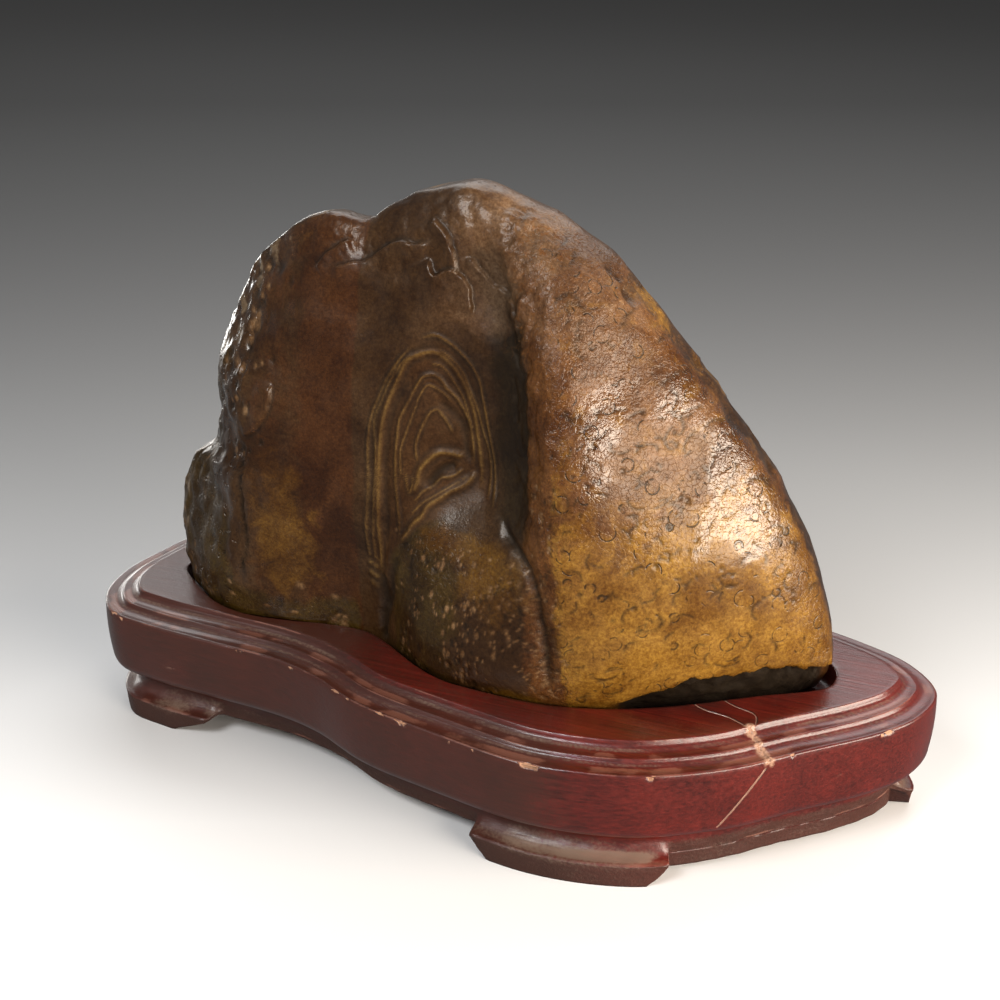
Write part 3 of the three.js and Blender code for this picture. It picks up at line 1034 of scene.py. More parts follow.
    def _stains(self, base: np.ndarray, front: np.ndarray) -> dict[str, np.ndarray]:
        """Finds where each colour of the rock lies.

        Args:
            base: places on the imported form.
            front: 1 on the front, 0 on the back.

        Returns:
            A mask for each stain, by its name.
        """
        x, z = base[:, 0], base[:, 2]
        beside = x - self._corner(z)
        broad = 9.0 * self.noise.layered(base + 9, 26.0)
        face = ease(beside + 0.3 * broad, -1.5, 3.0)
        face = face * np.maximum(ease(x, 68, 56), ease(z, self._brow(base) - 2, self._brow(base)))
        away = 1 - front
        lobe = ease(x, -32, -24) * ease(x, 38, 32) * ease(z, 116, 104)
        left = ease(x, -44, -50)
        strip = bell(np.abs(beside - 1.5 + 0.3 * broad), 5.0)
        gully = bell(np.abs(beside + 20), 9.0) * ease(z, 100, 125)
        rim = ease(self.form.rim_share(base[:, [0, 2]]), 0.86, 0.97)
        return {
            "mauve": front * face * ease(z + 1.6 * broad, 84, 138) + away * ease(broad, 0, 7),
            "ochre": (front * face * (0.25 + 0.75 * ease(z + 1.8 * broad, 158, 92))
                      + away * 0.6 * ease(-broad, -1, 6)),
            "rust": front * (strip + face * rim + ease(beside, -17, -8) * ease(beside, 3, -2)),
            "olive": front * (lobe * ease(x + broad, 16, -6) + ease(x + broad, -100, -112)
                              + 0.8 * left * ease(z + broad, 74, 60)),
            "blood": front * left * ease(x, -100, -86) * (0.5 + ease(x, -75, -52)),
            "moss": front * gully,
            "honey": front * (lobe * bell(np.hypot((x - 16) / 14, (z - 95) / 13), 1.0)
                              + lobe * 0.8 * bell(np.hypot((x + 6) / 14, (z - 106) / 7), 1.0)
                              + bell(np.hypot((x + 76) / 13, (z - 92 + 0.5 * x + 38) / 26), 1.0)
                              + lobe * ease(z, 60, 52) * ease(x, 4, 20)),
            # painted reflection: pale streaks along the left ridge
            "bloom": 0.75 * self._painted_reflection(base),
            "ash": ease(z + 0.5 * broad, 196, 214) * ease(x, -22, 2),
            "vein": front * (ease(z + broad, 160, 182) * ease(x, 6, 20) + 0.9 * strip
                             + 0.6 * face * rim
                             + 0.3 * left * ease(z, 188, 204)) + 0.35 * away,
        }

    def _painted_reflection(self, base: np.ndarray) -> np.ndarray:
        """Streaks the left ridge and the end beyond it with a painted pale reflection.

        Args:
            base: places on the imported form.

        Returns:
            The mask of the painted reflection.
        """
        flat = base[:, [0, 2]]
        bloom = np.zeros(len(base))
        for width, places in PAINTED_REFLECTION:
            bloom = np.maximum(bloom, Trail(places).strength(flat, width, taper=0.2))
        slant = np.column_stack([base[:, 0] + 0.5 * base[:, 2], base[:, 1], 0.25 * base[:, 2]])
        streaks = ease(self.noise.layered(slant + 91, 5.0), -0.35, 0.45)
        return bloom * streaks * ease(base[:, 1], 20, 8)

    def _wax(self, base: np.ndarray, front: np.ndarray) -> tuple[np.ndarray, np.ndarray]:
        """Finds where the wax is thick, and where it has worn dull.

        Args:
            base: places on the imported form.
            front: 1 on the front, 0 on the back.

        Returns:
            The two masks.
        """
        flat = base[:, [0, 2]]
        gloss = np.zeros(len(base))
        for width, places in GLOSS:
            gloss = np.maximum(gloss, Trail(places).strength(flat, width, taper=0.15))
        ragged = self.noise.layered(base + 61, 12.0)
        worn = np.hypot((flat[:, 0] - 69) / 14, (flat[:, 1] - 141) / 17)
        dull = ease(worn + 0.5 * ragged, 1.25, 0.75)
        top = ease(flat[:, 1] + 12 * ragged, 176, 188) * ease(flat[:, 0], -18, 8)
        dull = np.maximum(dull, top)
        ridge = ease(flat[:, 0], -70, -84) * ease(base[:, 1], 22, 8)
        streaks = ease(self.noise.layered(base * [1, 1, 0.3] + 13, 6.0), -0.3, 0.4)
        gloss = np.maximum(front * gloss, 0.3 * ridge * streaks * ease(flat[:, 0], -118, -110))
        return ease(gloss + 0.6 * ragged, 0.15, 0.5) * (gloss > 0.02) * (1 - dull), front * dull

    # -- the piece -----------------------------------------------------------------------------

    def build(self) -> bpy.types.Object:
        """Makes the rock's mesh with all its relief and masks.

        Returns:
            The rock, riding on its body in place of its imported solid.
        """
        bm = self._ball()
        self._refine_skin(bm)
        for vertex in bm.verts:
            vertex.co.normalize()
        rock = mesh_object(self.NAME, bm)
        mesh = rock.data
        directions = get_points(mesh)
        base = self.form.skin(directions)
        set_points(mesh, base)
        normals = get_normals(mesh)
        front = ease(directions[:, 1], 0.06, -0.12)

        rise, masks = self._relief(base, front)
        pit_drop, masks["pit"], masks["bare"] = self._pits(base, front)
        nick_drop, masks["nick"] = self._crescents(base, front)
        rise -= pit_drop + nick_drop + self._foot(base, normals)
        points = base + normals * rise[:, None]
        points[:, 2] = np.maximum(points[:, 2], self.FLAT)
        set_points(mesh, (points + self.shift) * MM)

        masks.update(self._stains(base, front))
        # painted shade under the undercut below the right face
        masks["dark"] = np.maximum(masks["dark"], ease(self._foot(base, normals), 2.2, 4.5))
        masks["crackle"] = np.maximum.reduce([
            masks["mauve"] * ease(base[:, 2], 90, 118), masks["rust"], 0.6 * masks["vein"]])
        masks["gloss"], masks["dull"] = self._wax(base, front)
        masks["pores"] = front * ease(base[:, 0], -84, -104) + (1 - front) * 0.6
        for name, values in masks.items():
            set_mask(mesh, name, values)
        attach(rock, BODY)
        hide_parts(self.NODE)
        LOG.info("%s: %d faces", self.NAME, len(mesh.polygons))
        return rock


# ---------------------------------------------------------------------------------------------
# The stand

PLAN = [
    (43, -69), (2, -63), (-30, -55.5), (-53, -44.5), (-73, -39), (-100, -37), (-131, -34.5),
    (-150, -30), (-161.5, -16), (-165, 3), (-162, 22), (-156, 42), (-141, 55), (-112, 60),
    (-80, 57), (-45, 54), (-5, 58), (35, 66), (68, 69), (100, 66), (130, 58), (152, 47),
    (164, 30), (161, 11), (150, -5), (128, -26), (108, -45), (80, -62),
]

FEET = [  # bearings of both ends of each foot, in degrees, and the height under the next rail
    (8, 29, 8.2), (62, 112, 8.2), (147, 163, 8.2), (173, 199, 8.2), (283, 329, 2.6),
]

# Cracks of the flat top at the near right corner, as x and y, with their half width.
TOP_CRACKS = [
    (0.22, [(80, -14), (90, -21), (100, -23), (108, -27)]),
    (0.20, [(93, -11), (100, -15), (108, -18), (110, -25)]),
]

# The corner's own crack: it goes straight over the mouldings, then slants down the frieze. Each
# part has a half width, and the height and the x on the plan where it starts and ends.
CORNER_CRACKS = [
    (0.60, (54.6, 118), (48, 118)),
    (0.34, (48, 118), (24, 104)),
]

SCRATCHES = [
    (0.35, [(137, -18, 36), (145, -10, 37), (156, 3, 36)]),
    (0.25, [(60, -67.5, 41), (72, -64.5, 40.4), (82, -60.5, 40.6)]),
    (0.25, [(-128, -35, 33), (-112, -36, 32), (-98, -37, 32.4)]),
]

# Chipped lengths of the frieze's top edge, as x and y at both ends, and how deep each goes.
CHIPS = [
    ((-153, -26), (-141, -33), 0.5), ((-96, -37), (-78, -38), 0.8), ((-66, -41), (-60, -43), 0.5),
    ((-44, -48), (-30, -55), 0.8), ((-24, -58), (-4, -61), 0.7), ((8, -64), (13, -65), 0.4),
    ((20, -66), (23, -66), 0.7), ((37, -68), (49, -68), 0.9), ((81, -61), (87, -58), 0.8),
    ((121, -33), (126, -28), 0.6), ((148, -6), (155, 5), 0.6),
    ((-164, 8), (-163, 16), 0.5), ((96, 66), (108, 65), 0.6), ((-60, 55), (-50, 54), 0.5),
]


def bow(start: tuple[float, float], end: tuple[float, float], sag: float,
        steps: int) -> list[tuple[float, float]]:
    """A shallow arc of a moulding's profile.

    Args:
        start: inset and height where it begins.
        end: inset and height where it ends.
        sag: how far its middle stands out (or in, below 0), square to its chord.
        steps: points to make, the first at `start`; `end` is left to the next stretch.

    Returns:
        The points, as inset and height.
    """
    run, drop = end[0] - start[0], end[1] - start[1]
    length = math.hypot(run, drop)
    points = []
    for i in range(steps):
        share = i / steps
        out = 4 * share * (1 - share) * sag / length
        points.append((start[0] + share * run + out * drop, start[1] + share * drop - out * run))
    return points


@dataclass
class CarvedStand:
    """The one-block stand: a recessed top, stepped mouldings, a crowned frieze, and feet."""

    form: RockForm
    shift: np.ndarray
    top: float = 54.6
    recess_floor: float = 45.5
    recess_margin: float = 1.3
    clearance_centre: tuple[float, float] = (-6.0, 8.0)
    underside: float = 9.6
    stations: int = 480
    plateau_rows: int = 16
    waist: tuple[float, float] = (12.0, 14.4)
    lip: tuple[float, float] = (4.6, 9.2)
    foot_slant: float = 8.0
    foot_back: float = 17.0
    top_inset: float = 14.3  # of the flat top's edge
    rail_inset: float = 12.3  # of the rail's face between two feet
    rail_under: float = 8.6  # height that the rail's face goes down to there
    noise: Noise = field(default_factory=lambda: Noise(21))

    NODE = "stand"
    NAME = "carved_stand"

    # -- outlines ------------------------------------------------------------------------------

    def _plan(self) -> tuple[np.ndarray, np.ndarray]:
        """Runs round the plan in even steps.

        Returns:
            Places as rows of x and y, and the outward normal at each.
        """
        fine = spline(np.array(PLAN, float), closed=True, steps=60)
        loop = np.concatenate([fine, fine[:1]])
        run = np.concatenate([[0.0], np.cumsum(np.linalg.norm(np.diff(loop, axis=0), axis=1))])
        wanted = np.linspace(0, run[-1], self.stations, endpoint=False)
        points = np.column_stack([np.interp(wanted, run, loop[:, k]) for k in (0, 1)])
        along = np.roll(points, -3, axis=0) - np.roll(points, 3, axis=0)
        along /= np.linalg.norm(along, axis=1, keepdims=True)
        return points, np.column_stack([-along[:, 1], along[:, 0]])

    def _recess(self, plan: np.ndarray) -> np.ndarray:
        """Runs round the recess.

        Args:
            plan: places round the plan.

        Returns:
            The recess's outline at the bearing of each.
        """
        section = self.form.section(self.top)
        along = np.roll(section, -1, axis=0) - np.roll(section, 1, axis=0)
        along /= np.linalg.norm(along, axis=1, keepdims=True)
        edge = section + self.recess_margin * np.column_stack([along[:, 1], -along[:, 0]])
        centre = np.array(self.clearance_centre)
        polar = edge - centre
        bearing = np.arctan2(polar[:, 1], polar[:, 0])
        order = np.argsort(bearing)
        across = plan - centre
        wanted = np.arctan2(across[:, 1], across[:, 0])
        reach = np.interp(wanted, bearing[order], np.hypot(*polar.T)[order], period=2 * math.pi)
        return centre + reach[:, None] * np.column_stack([np.cos(wanted), np.sin(wanted)])

    def _footing(self, plan: np.ndarray) -> tuple[np.ndarray, np.ndarray]:
        """Finds the feet along the plan.

        Args:
            plan: places round the plan.

        Returns:
            How far into a foot each place is, in millimetres, and the height under its rail.
        """
        bearing = np.degrees(np.arctan2(plan[:, 1], plan[:, 0])) % 360
        arc = np.radians(1) * np.linalg.norm(plan, axis=1)
        inside = np.full(len(plan), -1e3)
        rail = np.full(len(plan), FEET[-1][2])
        for start, end, height in FEET:
            inside = np.maximum(inside, np.minimum(bearing - start, end - bearing) * arc)
            rail[bearing > start] = height
        return inside, rail

    # -- profile -------------------------------------------------------------------------------

    def _mouldings(self) -> list[tuple[float, float]]:
        """Draws the profile from the edge of the flat top down to the waist.

        Returns:
            Its points, as inset and height.
        """
        return [
            # crisp edge of the top, a short riser and the first cove, up to its own crisp edge
            *bow((self.top_inset, self.top), (13.8, 54.2), 0.10, 3),
            *bow((13.8, 54.2), (13.2, 52.9), 0.05, 3),
            *bow((13.2, 52.9), (7.9, 51.45), -0.75, 10), *bow((7.9, 51.45), (7.2, 51.0), 0.14, 4),
            # second riser and cove, up to the frieze's top edge
            *bow((7.2, 51.0), (6.7, 50.2), 0.04, 3), *bow((6.7, 50.2), (1.2, 49.35), -0.62, 9),
            *bow((1.2, 49.35), (0.1, 48.6), 0.22, 5),
            # crowned frieze, rounded under
            *bow((0.1, 48.6), (0.9, 27.2), 0.55, 12), *bow((0.9, 27.2), (4.8, 21.4), 1.0, 8),
            # quirk, bead and the waist's cove
            *bow((4.8, 21.4), (6.8, 20.9), -0.2, 3), *bow((6.8, 20.9), (9.4, 18.9), 0.8, 6),
            *bow((9.4, 18.9), (10.2, 18.5), -0.1, 2), *bow((10.2, 18.5), self.waist, -0.5, 5),
        ]

    def _rows(self, plan: np.ndarray, outward: np.ndarray) -> np.ndarray:
        """Lays out the stand's closed sweep.

        Args:
            plan: places round the plan.
            outward: the outward normal at each.

        Returns:
            All its places, as rows × stations × 3.
        """
        inside, rail = self._footing(plan)
        lip = ease(inside, 0.0, 1.4)
        sole = np.clip(inside / self.foot_slant, 0.0, 1.0)
        bottom = rail + (0.0 - rail) * sole
        recess = self._recess(plan)
        middle = np.array(self.clearance_centre)
        rows = []

        def level(places: np.ndarray, height: float) -> None:
            """Adds a row of places at one height."""
            rows.append(np.column_stack([places, np.broadcast_to(height, len(places))]))

        for share in (0.02, 0.3, 0.6, 0.85, 0.97):  # recess floor, from its middle outwards
            level(middle + share * (recess - middle), self.recess_floor)
        level(recess, self.recess_floor)
        level(recess, self.top - 5.0)
        level(recess, self.top - 1.0)
        edge = (plan - self.top_inset * outward) - recess
        width = np.linalg.norm(edge, axis=1, keepdims=True)
        level(recess + edge / width * 0.15, self.top - 0.35)
        level(recess + edge / width * 0.55, self.top - 0.05)
        for k in range(1, self.plateau_rows):
            share = 0.55 / width + (1 - 0.55 / width) * k / self.plateau_rows
            level(recess + share * edge, self.top)
        for inset, height in self._mouldings():
            level(plan - inset * outward, height)
        low = np.array(self.waist)
        flared = [*bow(self.waist, self.lip, -1.5, 9), (self.lip[0], self.lip[1]),
                  (self.lip[0] - 0.15, self.lip[1] - 0.6)]
        for i, (inset, height) in enumerate(flared):
            straight = low[0] + 0.02 * i
            drop = low[1] + (height - low[1]) * (0.72 + 0.28 * lip)
            reach = straight + (inset - straight) * lip
            level(plan - reach[:, None] * outward, drop)
        start = low[1] + (flared[-1][1] - low[1]) * (0.72 + 0.28 * lip)
        toe = start * (1 - sole) * lip + np.minimum(start, self.rail_under) * (1 - lip)
        neck = self.rail_inset
        nose = self.lip[0] + 0.6
        for share in (0.3, 0.65, 0.9, 1.0):
            height = start + (toe - start) * share
            reach = neck + (self.lip[0] + 0.6 * share - neck) * lip
            level(plan - reach[:, None] * outward, height)
        for share in (0.1, 0.5, 0.95):
            inset = nose + (neck + 0.05 - nose) * share
            reach = neck + (inset - neck) * lip
            level(plan - reach[:, None] * outward, toe)
        for share in (0.1, 0.5, 0.9, 1.0):
            level(plan - (neck + 0.05 + 0.2 * share) * outward, toe + (bottom - toe) * share)
        level(plan - self.foot_back * outward, bottom)
        level(plan - (self.foot_back + 0.4) * outward, self.underside)
        for share in (0.6, 0.25, 0.02):
            level(share * (plan - (self.foot_back + 0.4) * outward), self.underside)
        return np.array(rows)

    def _sweep(self) -> bmesh.types.BMesh:
        """Carries the profile round the plan.

        Returns:
            One closed mesh, in millimetres.
        """
        plan, outward = self._plan()
        rows = self._rows(plan, outward)
        bm = bmesh.new()
        loops = [[bm.verts.new(p) for p in row] for row in rows]
        count = self.stations
        for upper, lower in zip(loops[:-1], loops[1:]):
            for s in range(count):
                after = (s + 1) % count
                bm.faces.new((upper[s], upper[after], lower[after], lower[s]))
        bm.faces.new(loops[0])
        bm.faces.new(list(reversed(loops[-1])))
        bmesh.ops.recalc_face_normals(bm, faces=bm.faces)
        return bm

    # -- wear ----------------------------------------------------------------------------------

    def _crack_lines(self) -> list[tuple[Trail, float]]:
        """Lays the cracks on the flat top, the mouldings and the frieze.

        Returns:
            A line and a half width for each, the one over the mouldings third.
        """
        lines = [(Trail([(x, y, self.top) for x, y in places]), width)
                 for width, places in TOP_CRACKS]
        plan, outward = self._plan()
        corner = (plan[:, 1] < 0) & (plan[:, 0] > 90) & (plan[:, 0] < 140)
        order = np.flatnonzero(corner)[np.argsort(plan[corner, 0])]
        for width, (start, first), (end, last) in CORNER_CRACKS:
            places = []
            for inset, height in self._mouldings():
                if end <= height <= start:
                    x = np.interp(height, (end, start), (last, first))
                    y, out_x, out_y = (np.interp(x, plan[order, 0], values[order])
                                       for values in (plan[:, 1], *outward.T))
                    places.append((x - inset * out_x, y - inset * out_y, height))
            lines.append((Trail(places), width))
        return lines

    def _chip_lines(self) -> list[tuple[Trail, float]]:
        """Lays the chipped lengths along the frieze's top edge.

        Returns:
            A line and a depth for each.
        """
        edge = spline(np.array(PLAN, float), closed=True, steps=60)
        lines = []
        for start, end, depth in CHIPS:
            first, last = (int(np.linalg.norm(edge - p, axis=1).argmin()) for p in (start, end))
            low, high = min(first, last), max(first, last)
            if high - low > len(edge) / 2:
                low, high = high, low + len(edge)
            picks = np.unique(np.linspace(low, max(high, low + 4), 5).astype(int)) % len(edge)
            places = np.column_stack([edge[picks], np.full(len(picks), 49.1)])
            lines.append((Trail([tuple(p) for p in places]), depth))
        return lines

    def _wear(self, at: np.ndarray, normals: np.ndarray) -> tuple[np.ndarray, dict]:
        """Carving marks, cracks, chips and scratches.

        Args:
            at: the stand's vertices.
            normals: their normals.

        Returns:
            How far each vertex moves out, and masks by name.
        """
        count = len(at)
        z = at[:, 2]
        outside = ease(z, 46, 30) + ease(np.abs(normals[:, 2]), 0.9, 0.5)
        hand = self.noise.plain(at * [1, 1, 0.45], 24.0) * 0.22
        tool = self.noise.plain(at * [0.8, 0.8, 1.6] + 40, 5.5) * ease(z, 21, 12) * 0.35
        rise = hand * np.clip(outside, 0, 1) + tool * (z > 0.6)
        crack = np.zeros(count)
        filler = np.zeros(count)
        ragged = 1 + 0.6 * self.noise.plain(at + 7, 2.2)
        split = np.zeros(count)
        for i, (line, width) in enumerate(self._crack_lines()):
            strength = line.strength(at, width * 1.0, taper=0.04) * np.clip(ragged, 0.3, 2)
            rise -= 0.45 * strength
            crack = np.maximum(crack, 1.5 * strength)
            distance, along, side = line.measure(at, 3.0)
            beside = bell(np.abs(distance * side - 0.42), 0.22) * ease(along, 1.0, 0.9)
            split = np.maximum(split, beside * ease(ragged, 0.5, 1.0))
            if i == 2:
                lumps = line.strength(at, 2.1, taper=0.0) * ease(ragged, 0.55, 0.95)
                filler = np.maximum(filler, lumps)
                rise += 0.6 * lumps * (0.6 + 0.5 * self.noise.plain(at + 23, 1.1))
        for width, places in SCRATCHES:
            strength = Trail(places).strength(at, width, taper=0.1)
            rise -= 0.12 * strength
            crack = np.maximum(crack, 0.5 * strength)
        bare = np.zeros(count)
        broken = ease(self.noise.layered(at + 19, 5.0), -0.35, 0.15)
        for line, depth in self._chip_lines():
            strength = line.strength(at, 0.85, taper=0.3) * (0.5 + 0.5 * broken)
            near_edge = strength > 0.15
            strength = strength + 0.9 * self.noise.layered(at * [0.3, 0.3, 1.4] + 3, 1.3)
            chipped = ease(strength, 0.6, 0.8) * (strength > 0.0) * near_edge
            rise -= 0.6 * depth * chipped
            bare = np.maximum(bare, chipped)
        masks = {"split": split, "crack": crack, "filler": filler, "bare": bare}
        return rise, masks

    def _rubbed_edges_and_highlights(self, at: np.ndarray) -> np.ndarray:
        """Finds the edges that hands and cloths have rubbed, which also carry a painted highlight.

        Args:
            at: the stand's vertices.

        Returns:
            The mask of the rubbed edges and their painted highlight.
        """
        z = at[:, 2]
        ledges = bell(np.abs(z - 54.35), 0.2) + bell(np.abs(z - 51.3), 0.16)
        ledges += bell(np.abs(z - 49.15), 0.2)
        lip = bell(np.abs(z - self.lip[1]), 0.4)
        ragged = ease(self.noise.layered(at * [0.4, 0.4, 1] + 31, 6.0), -0.3, 0.5)
        return np.clip(ledges + lip, 0, 1) * ragged

    def _dust_and_sheen(self, at: np.ndarray, normals: np.ndarray) -> np.ndarray:
        """Lays dust in the coves above the feet and on the rails, painted sheen in the mouldings.

        Args:
            at: the stand's vertices.
            normals: their normals.

        Returns:
            The mask of the dust and the painted sheen.
        """
        z = at[:, 2]
        near = 0.25 + 0.75 * ease(at[:, 0], 44, 72) * ease(at[:, 1], -20, -40)
        cove = near * ease(z, 11.8, 9.9) * ease(z, 9.2, 9.6) * ease(normals[:, 2], 0.15, 0.6)
        rails = 0.4 * ease(z, 17, 13) * ease(normals[:, 2], -0.4, 0.2)
        # the coves of the mouldings: a painted sheen of light
        upper = 0.45 * ease(np.abs(z - 51.9), 0.55, 0.2) * ease(normals[:, 2], 0.5, 0.85)
        lower = 0.40 * ease(np.abs(z - 49.75), 0.35, 0.12) * ease(normals[:, 2], 0.5, 0.85)
        ragged = ease(self.noise.layered(at * [0.5, 0.5, 1] + 77, 14.0), -0.7, 0.3)
        return np.clip((cove + rails) * ragged + (upper + lower) * (0.55 + 0.45 * ragged), 0, 1)

    def build(self) -> bpy.types.Object:
        """Makes the stand's mesh with its wear and masks.

        Returns:
            The stand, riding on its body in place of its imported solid.
        """
        bm = self._sweep()
        cracks = [line for line, _ in self._crack_lines()]
        chips = [line for line, _ in self._chip_lines()]

        def by_crack(at: np.ndarray) -> np.ndarray:
            """True close to a crack or a chip."""
            near = [line.measure(at, 4.0)[0] < 2.6 for line in cracks]
            near += [line.measure(at, 3.0)[0] < 1.8 for line in chips]
            return np.any(near, axis=0)

        refine(bm, by_crack)
        refine(bm, lambda at: np.any([t.measure(at, 3.0)[0] < 1.2 for t in chips], axis=0))
        for reach in (1.8, 1.2, 0.8):
            refine(bm, lambda at: np.any([t.measure(at, 3.0)[0] < reach for t in cracks], axis=0))
        stand = mesh_object(self.NAME, bm)
        mesh = stand.data
        at = get_points(mesh)
        normals = get_normals(mesh)
        rise, masks = self._wear(at, normals)
        # rubbed edges, paler also as a painted highlight along the crisp arrises
        masks["worn"] = self._rubbed_edges_and_highlights(at)
        masks["dust"] = self._dust_and_sheen(at, normals)
        masks["rail"] = ease(at[:, 2], 16, 10) * ease(normals[:, 2], 0.5, 0.2)
        # painted shade: the stand's left turns browner and darker, away from the key light, less so on
        # the flat top's left
        clear = ease(at[:, 2], 52, 53.5) * ease(at[:, 0], -75, -25)
        masks["umber"] = ease(at[:, 0] + 12 * self.noise.layered(at + 5, 40.0), 84, 24)
        masks["umber"] *= 1 - 0.6 * clear
        points = at + normals * rise[:, None]
        sole = at[:, 2] < 0.01
        points[sole, 2] = 0.0
        points[:, 2] = np.maximum(points[:, 2], 0.0)
        hidden = (at[:, 2] < self.recess_floor + 0.2) & (normals[:, 2] > 0.9) & (at[:, 2] > 40)
        points[hidden] = at[hidden]
        set_points(mesh, (points + self.shift) * MM)
        for name, values in masks.items():
            set_mask(mesh, name, values)
        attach(stand, BODY)
        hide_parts(self.NODE)
        LOG.info("%s: %d faces", self.NAME, len(mesh.polygons))
        return stand


# ---------------------------------------------------------------------------------------------
# Finishes


@dataclass(frozen=True)
class Pattern:
    """A noise texture whose grain is given in millimetres."""

    name: str
    grain_mm: float
    detail: float
    distortion: float = 0.0


@dataclass(frozen=True)
class WaxedStone:
    """Water-worn siliceous limestone, oiled and waxed.

    The wax makes the colours deep and the gloss wet, except where knocks and wear have left the
    skin dull. Iron stains it from ochre to red, and olive where it is densest. Its crazed skin
    breaks every highlight into small bright cells.
    """

    ground: str = "#48311a"
    stains: tuple[Stain, ...] = (
        Stain("blood", "#4b2b11"),
        Stain("mauve", "#76502f", 0.8),
        Stain("rust", "#6b441e", 0.9),
        Stain("ochre", "#966e28", 0.9),
        Stain("olive", "#453410"),
        Stain("moss", "#35250f", 0.5),
        Stain("honey", "#6a4a16", 0.8),
        Stain("ash", "#6e5236", 0.4),
        Stain("hollow", "#4e3216", 0.2),
        # pale streaks along the left ridge: a painted reflection of the left light
        Stain("bloom", "#8a7b68", 1.0),
    )
    patterns: tuple[Pattern, ...] = (
        Pattern("cloud", 22.0, 4.0, 0.5), Pattern("mottle", 9.0, 6.0, 0.8),
        Pattern("worn", 11.0, 3.0), Pattern("vein", 5.0, 1.5, 0.9), Pattern("curl", 3.0, 1.0, 1.2),
        Pattern("broken", 4.0, 2.0), Pattern("pebble", 2.8, 3.0), Pattern("pore", 2.4, 1.0),
        Pattern("speck", 1.5, 3.0), Pattern("grit", 0.8, 2.0),
    )
    masks: tuple[str, ...] = ("vein", "nick", "pit", "bare", "dark", "ridge", "edge", "crackle",
                              "pores", "gloss", "dull")
    vein_colour: str = "#86592a"
    # pale colour of the dull patches: worn wax, and a painted sheen of the key light on them
    dull_and_sheen_colour: str = "#96765a"
    curl_colour: str = "#5d431d"
    nick_colour: str = "#3a2a14"
    # pale tan of the painted glints in pits
    pit_colour: str = "#2a1e10"
    pit_glint_colour: str = "#a8845e"
    ridge_colour: str = "#80622f"
    edge_colour: str = "#6c4d2c"
    # near-black of the painted shade
    painted_shade_colour: str = "#161007"
    nick_mm: float = 8.0
    crackle_mm: float = 2.2
    bend_mm: float = 1.6

    def make(self) -> bpy.types.Material:
        """Builds the finish.

        Returns:
            The material.
        """
        material, add = new_finish("waxed_limestone")
        coords = add("ShaderNodeTexCoord", take="Object")
        names = {stain.name for stain in self.stains} | set(self.masks)
        mask = {name: add("ShaderNodeAttribute", attribute_name=name, take="Fac")
                for name in sorted(names)}
        noise = {pattern.name: add("ShaderNodeTexNoise", {
            "Vector": coords, "Scale": 1 / (pattern.grain_mm * MM), "Detail": pattern.detail,
            "Roughness": 0.6, "Distortion": pattern.distortion}) for pattern in self.patterns}

        marks = self._marks(add, coords, mask, noise)
        colour = self._layers(add, self._ground(add, mask, noise), mask, marks, noise)
        bump = self._skin(add, coords, mask, marks, noise)

        # the wax lies thick and bright on the knocked face, thin elsewhere
        patchy = add("ShaderNodeMapRange", {
            "Value": noise["worn"], "From Min": 0.45, "From Max": 0.62, "To Max": 0.14})
        roughness = 0.27
        for value, amount in ((noise["speck"], 0.12), (patchy, 1.0), (mask["dull"], 0.08),
                              (mask["dark"], 0.3), (mask["hollow"], 0.1), (mask["gloss"], -0.12)):
            roughness = add("ShaderNodeMath", {0: value, 1: amount, 2: roughness},
                            operation="MULTIPLY_ADD")
        wax = 0.24
        for name, amount in (("gloss", 0.76), ("hollow", -0.2), ("dull", -0.05),
                             ("dark", -0.24)):
            wax = add("ShaderNodeMath", {0: mask[name], 1: amount, 2: wax},
                      operation="MULTIPLY_ADD", use_clamp=True)
        shader = add("ShaderNodeBsdfPrincipled", {
            "Base Color": colour, "Roughness": roughness, "IOR": 1.5,
            "Specular IOR Level": 0.36, "Specular Tint": linear("#ffeeda"),
            "Normal": bump, "Coat Weight": wax,
            "Coat Roughness": 0.12, "Coat IOR": 1.5, "Coat Normal": bump})
        add("ShaderNodeOutputMaterial", {"Surface": shader})
        return material

    def _ground(self, add: Callable, mask: Sockets, noise: Sockets) -> bpy.types.NodeSocket:
        """Lays the stains on the ground colour, each with an edge that breaks up.

        Args:
            add: adds a node to the material.
            mask: the mesh's masks by name.
            noise: the patterns by name.

        Returns:
            The colour.
        """
        spread = add("ShaderNodeMath", {0: noise["mottle"], 1: 0.5}, operation="SUBTRACT")
        colour = linear(self.ground)
        for stain in self.stains:
            ragged = add("ShaderNodeMath", {0: spread, 1: 2.2 * stain.ragged, 2: mask[stain.name]},
                         operation="MULTIPLY_ADD")
            present = add("ShaderNodeMapRange", {
                "Value": mask[stain.name], "From Min": 0.02, "From Max": 0.2},
                interpolation_type="SMOOTHSTEP")
            share = add("ShaderNodeMapRange", {
                "Value": ragged, "From Min": 0.2, "From Max": 0.8, "To Max": present},
                interpolation_type="SMOOTHSTEP")
            colour = add("ShaderNodeMix", {0: share, 6: colour, 7: linear(stain.colour)},
                         data_type="RGBA")
        return colour

    def _marks(self, add: Callable, coords: bpy.types.NodeSocket, mask: Sockets,
               noise: Sockets) -> Sockets:
        """Draws the marks that are finer than the mesh.

        Args:
            add: adds a node to the material.
            coords: places on the rock.
            mask: the mesh's masks by name.
            noise: the patterns by name.

        Returns:
            Strengths of the "vein", "curl" and "knock" marks.
        """
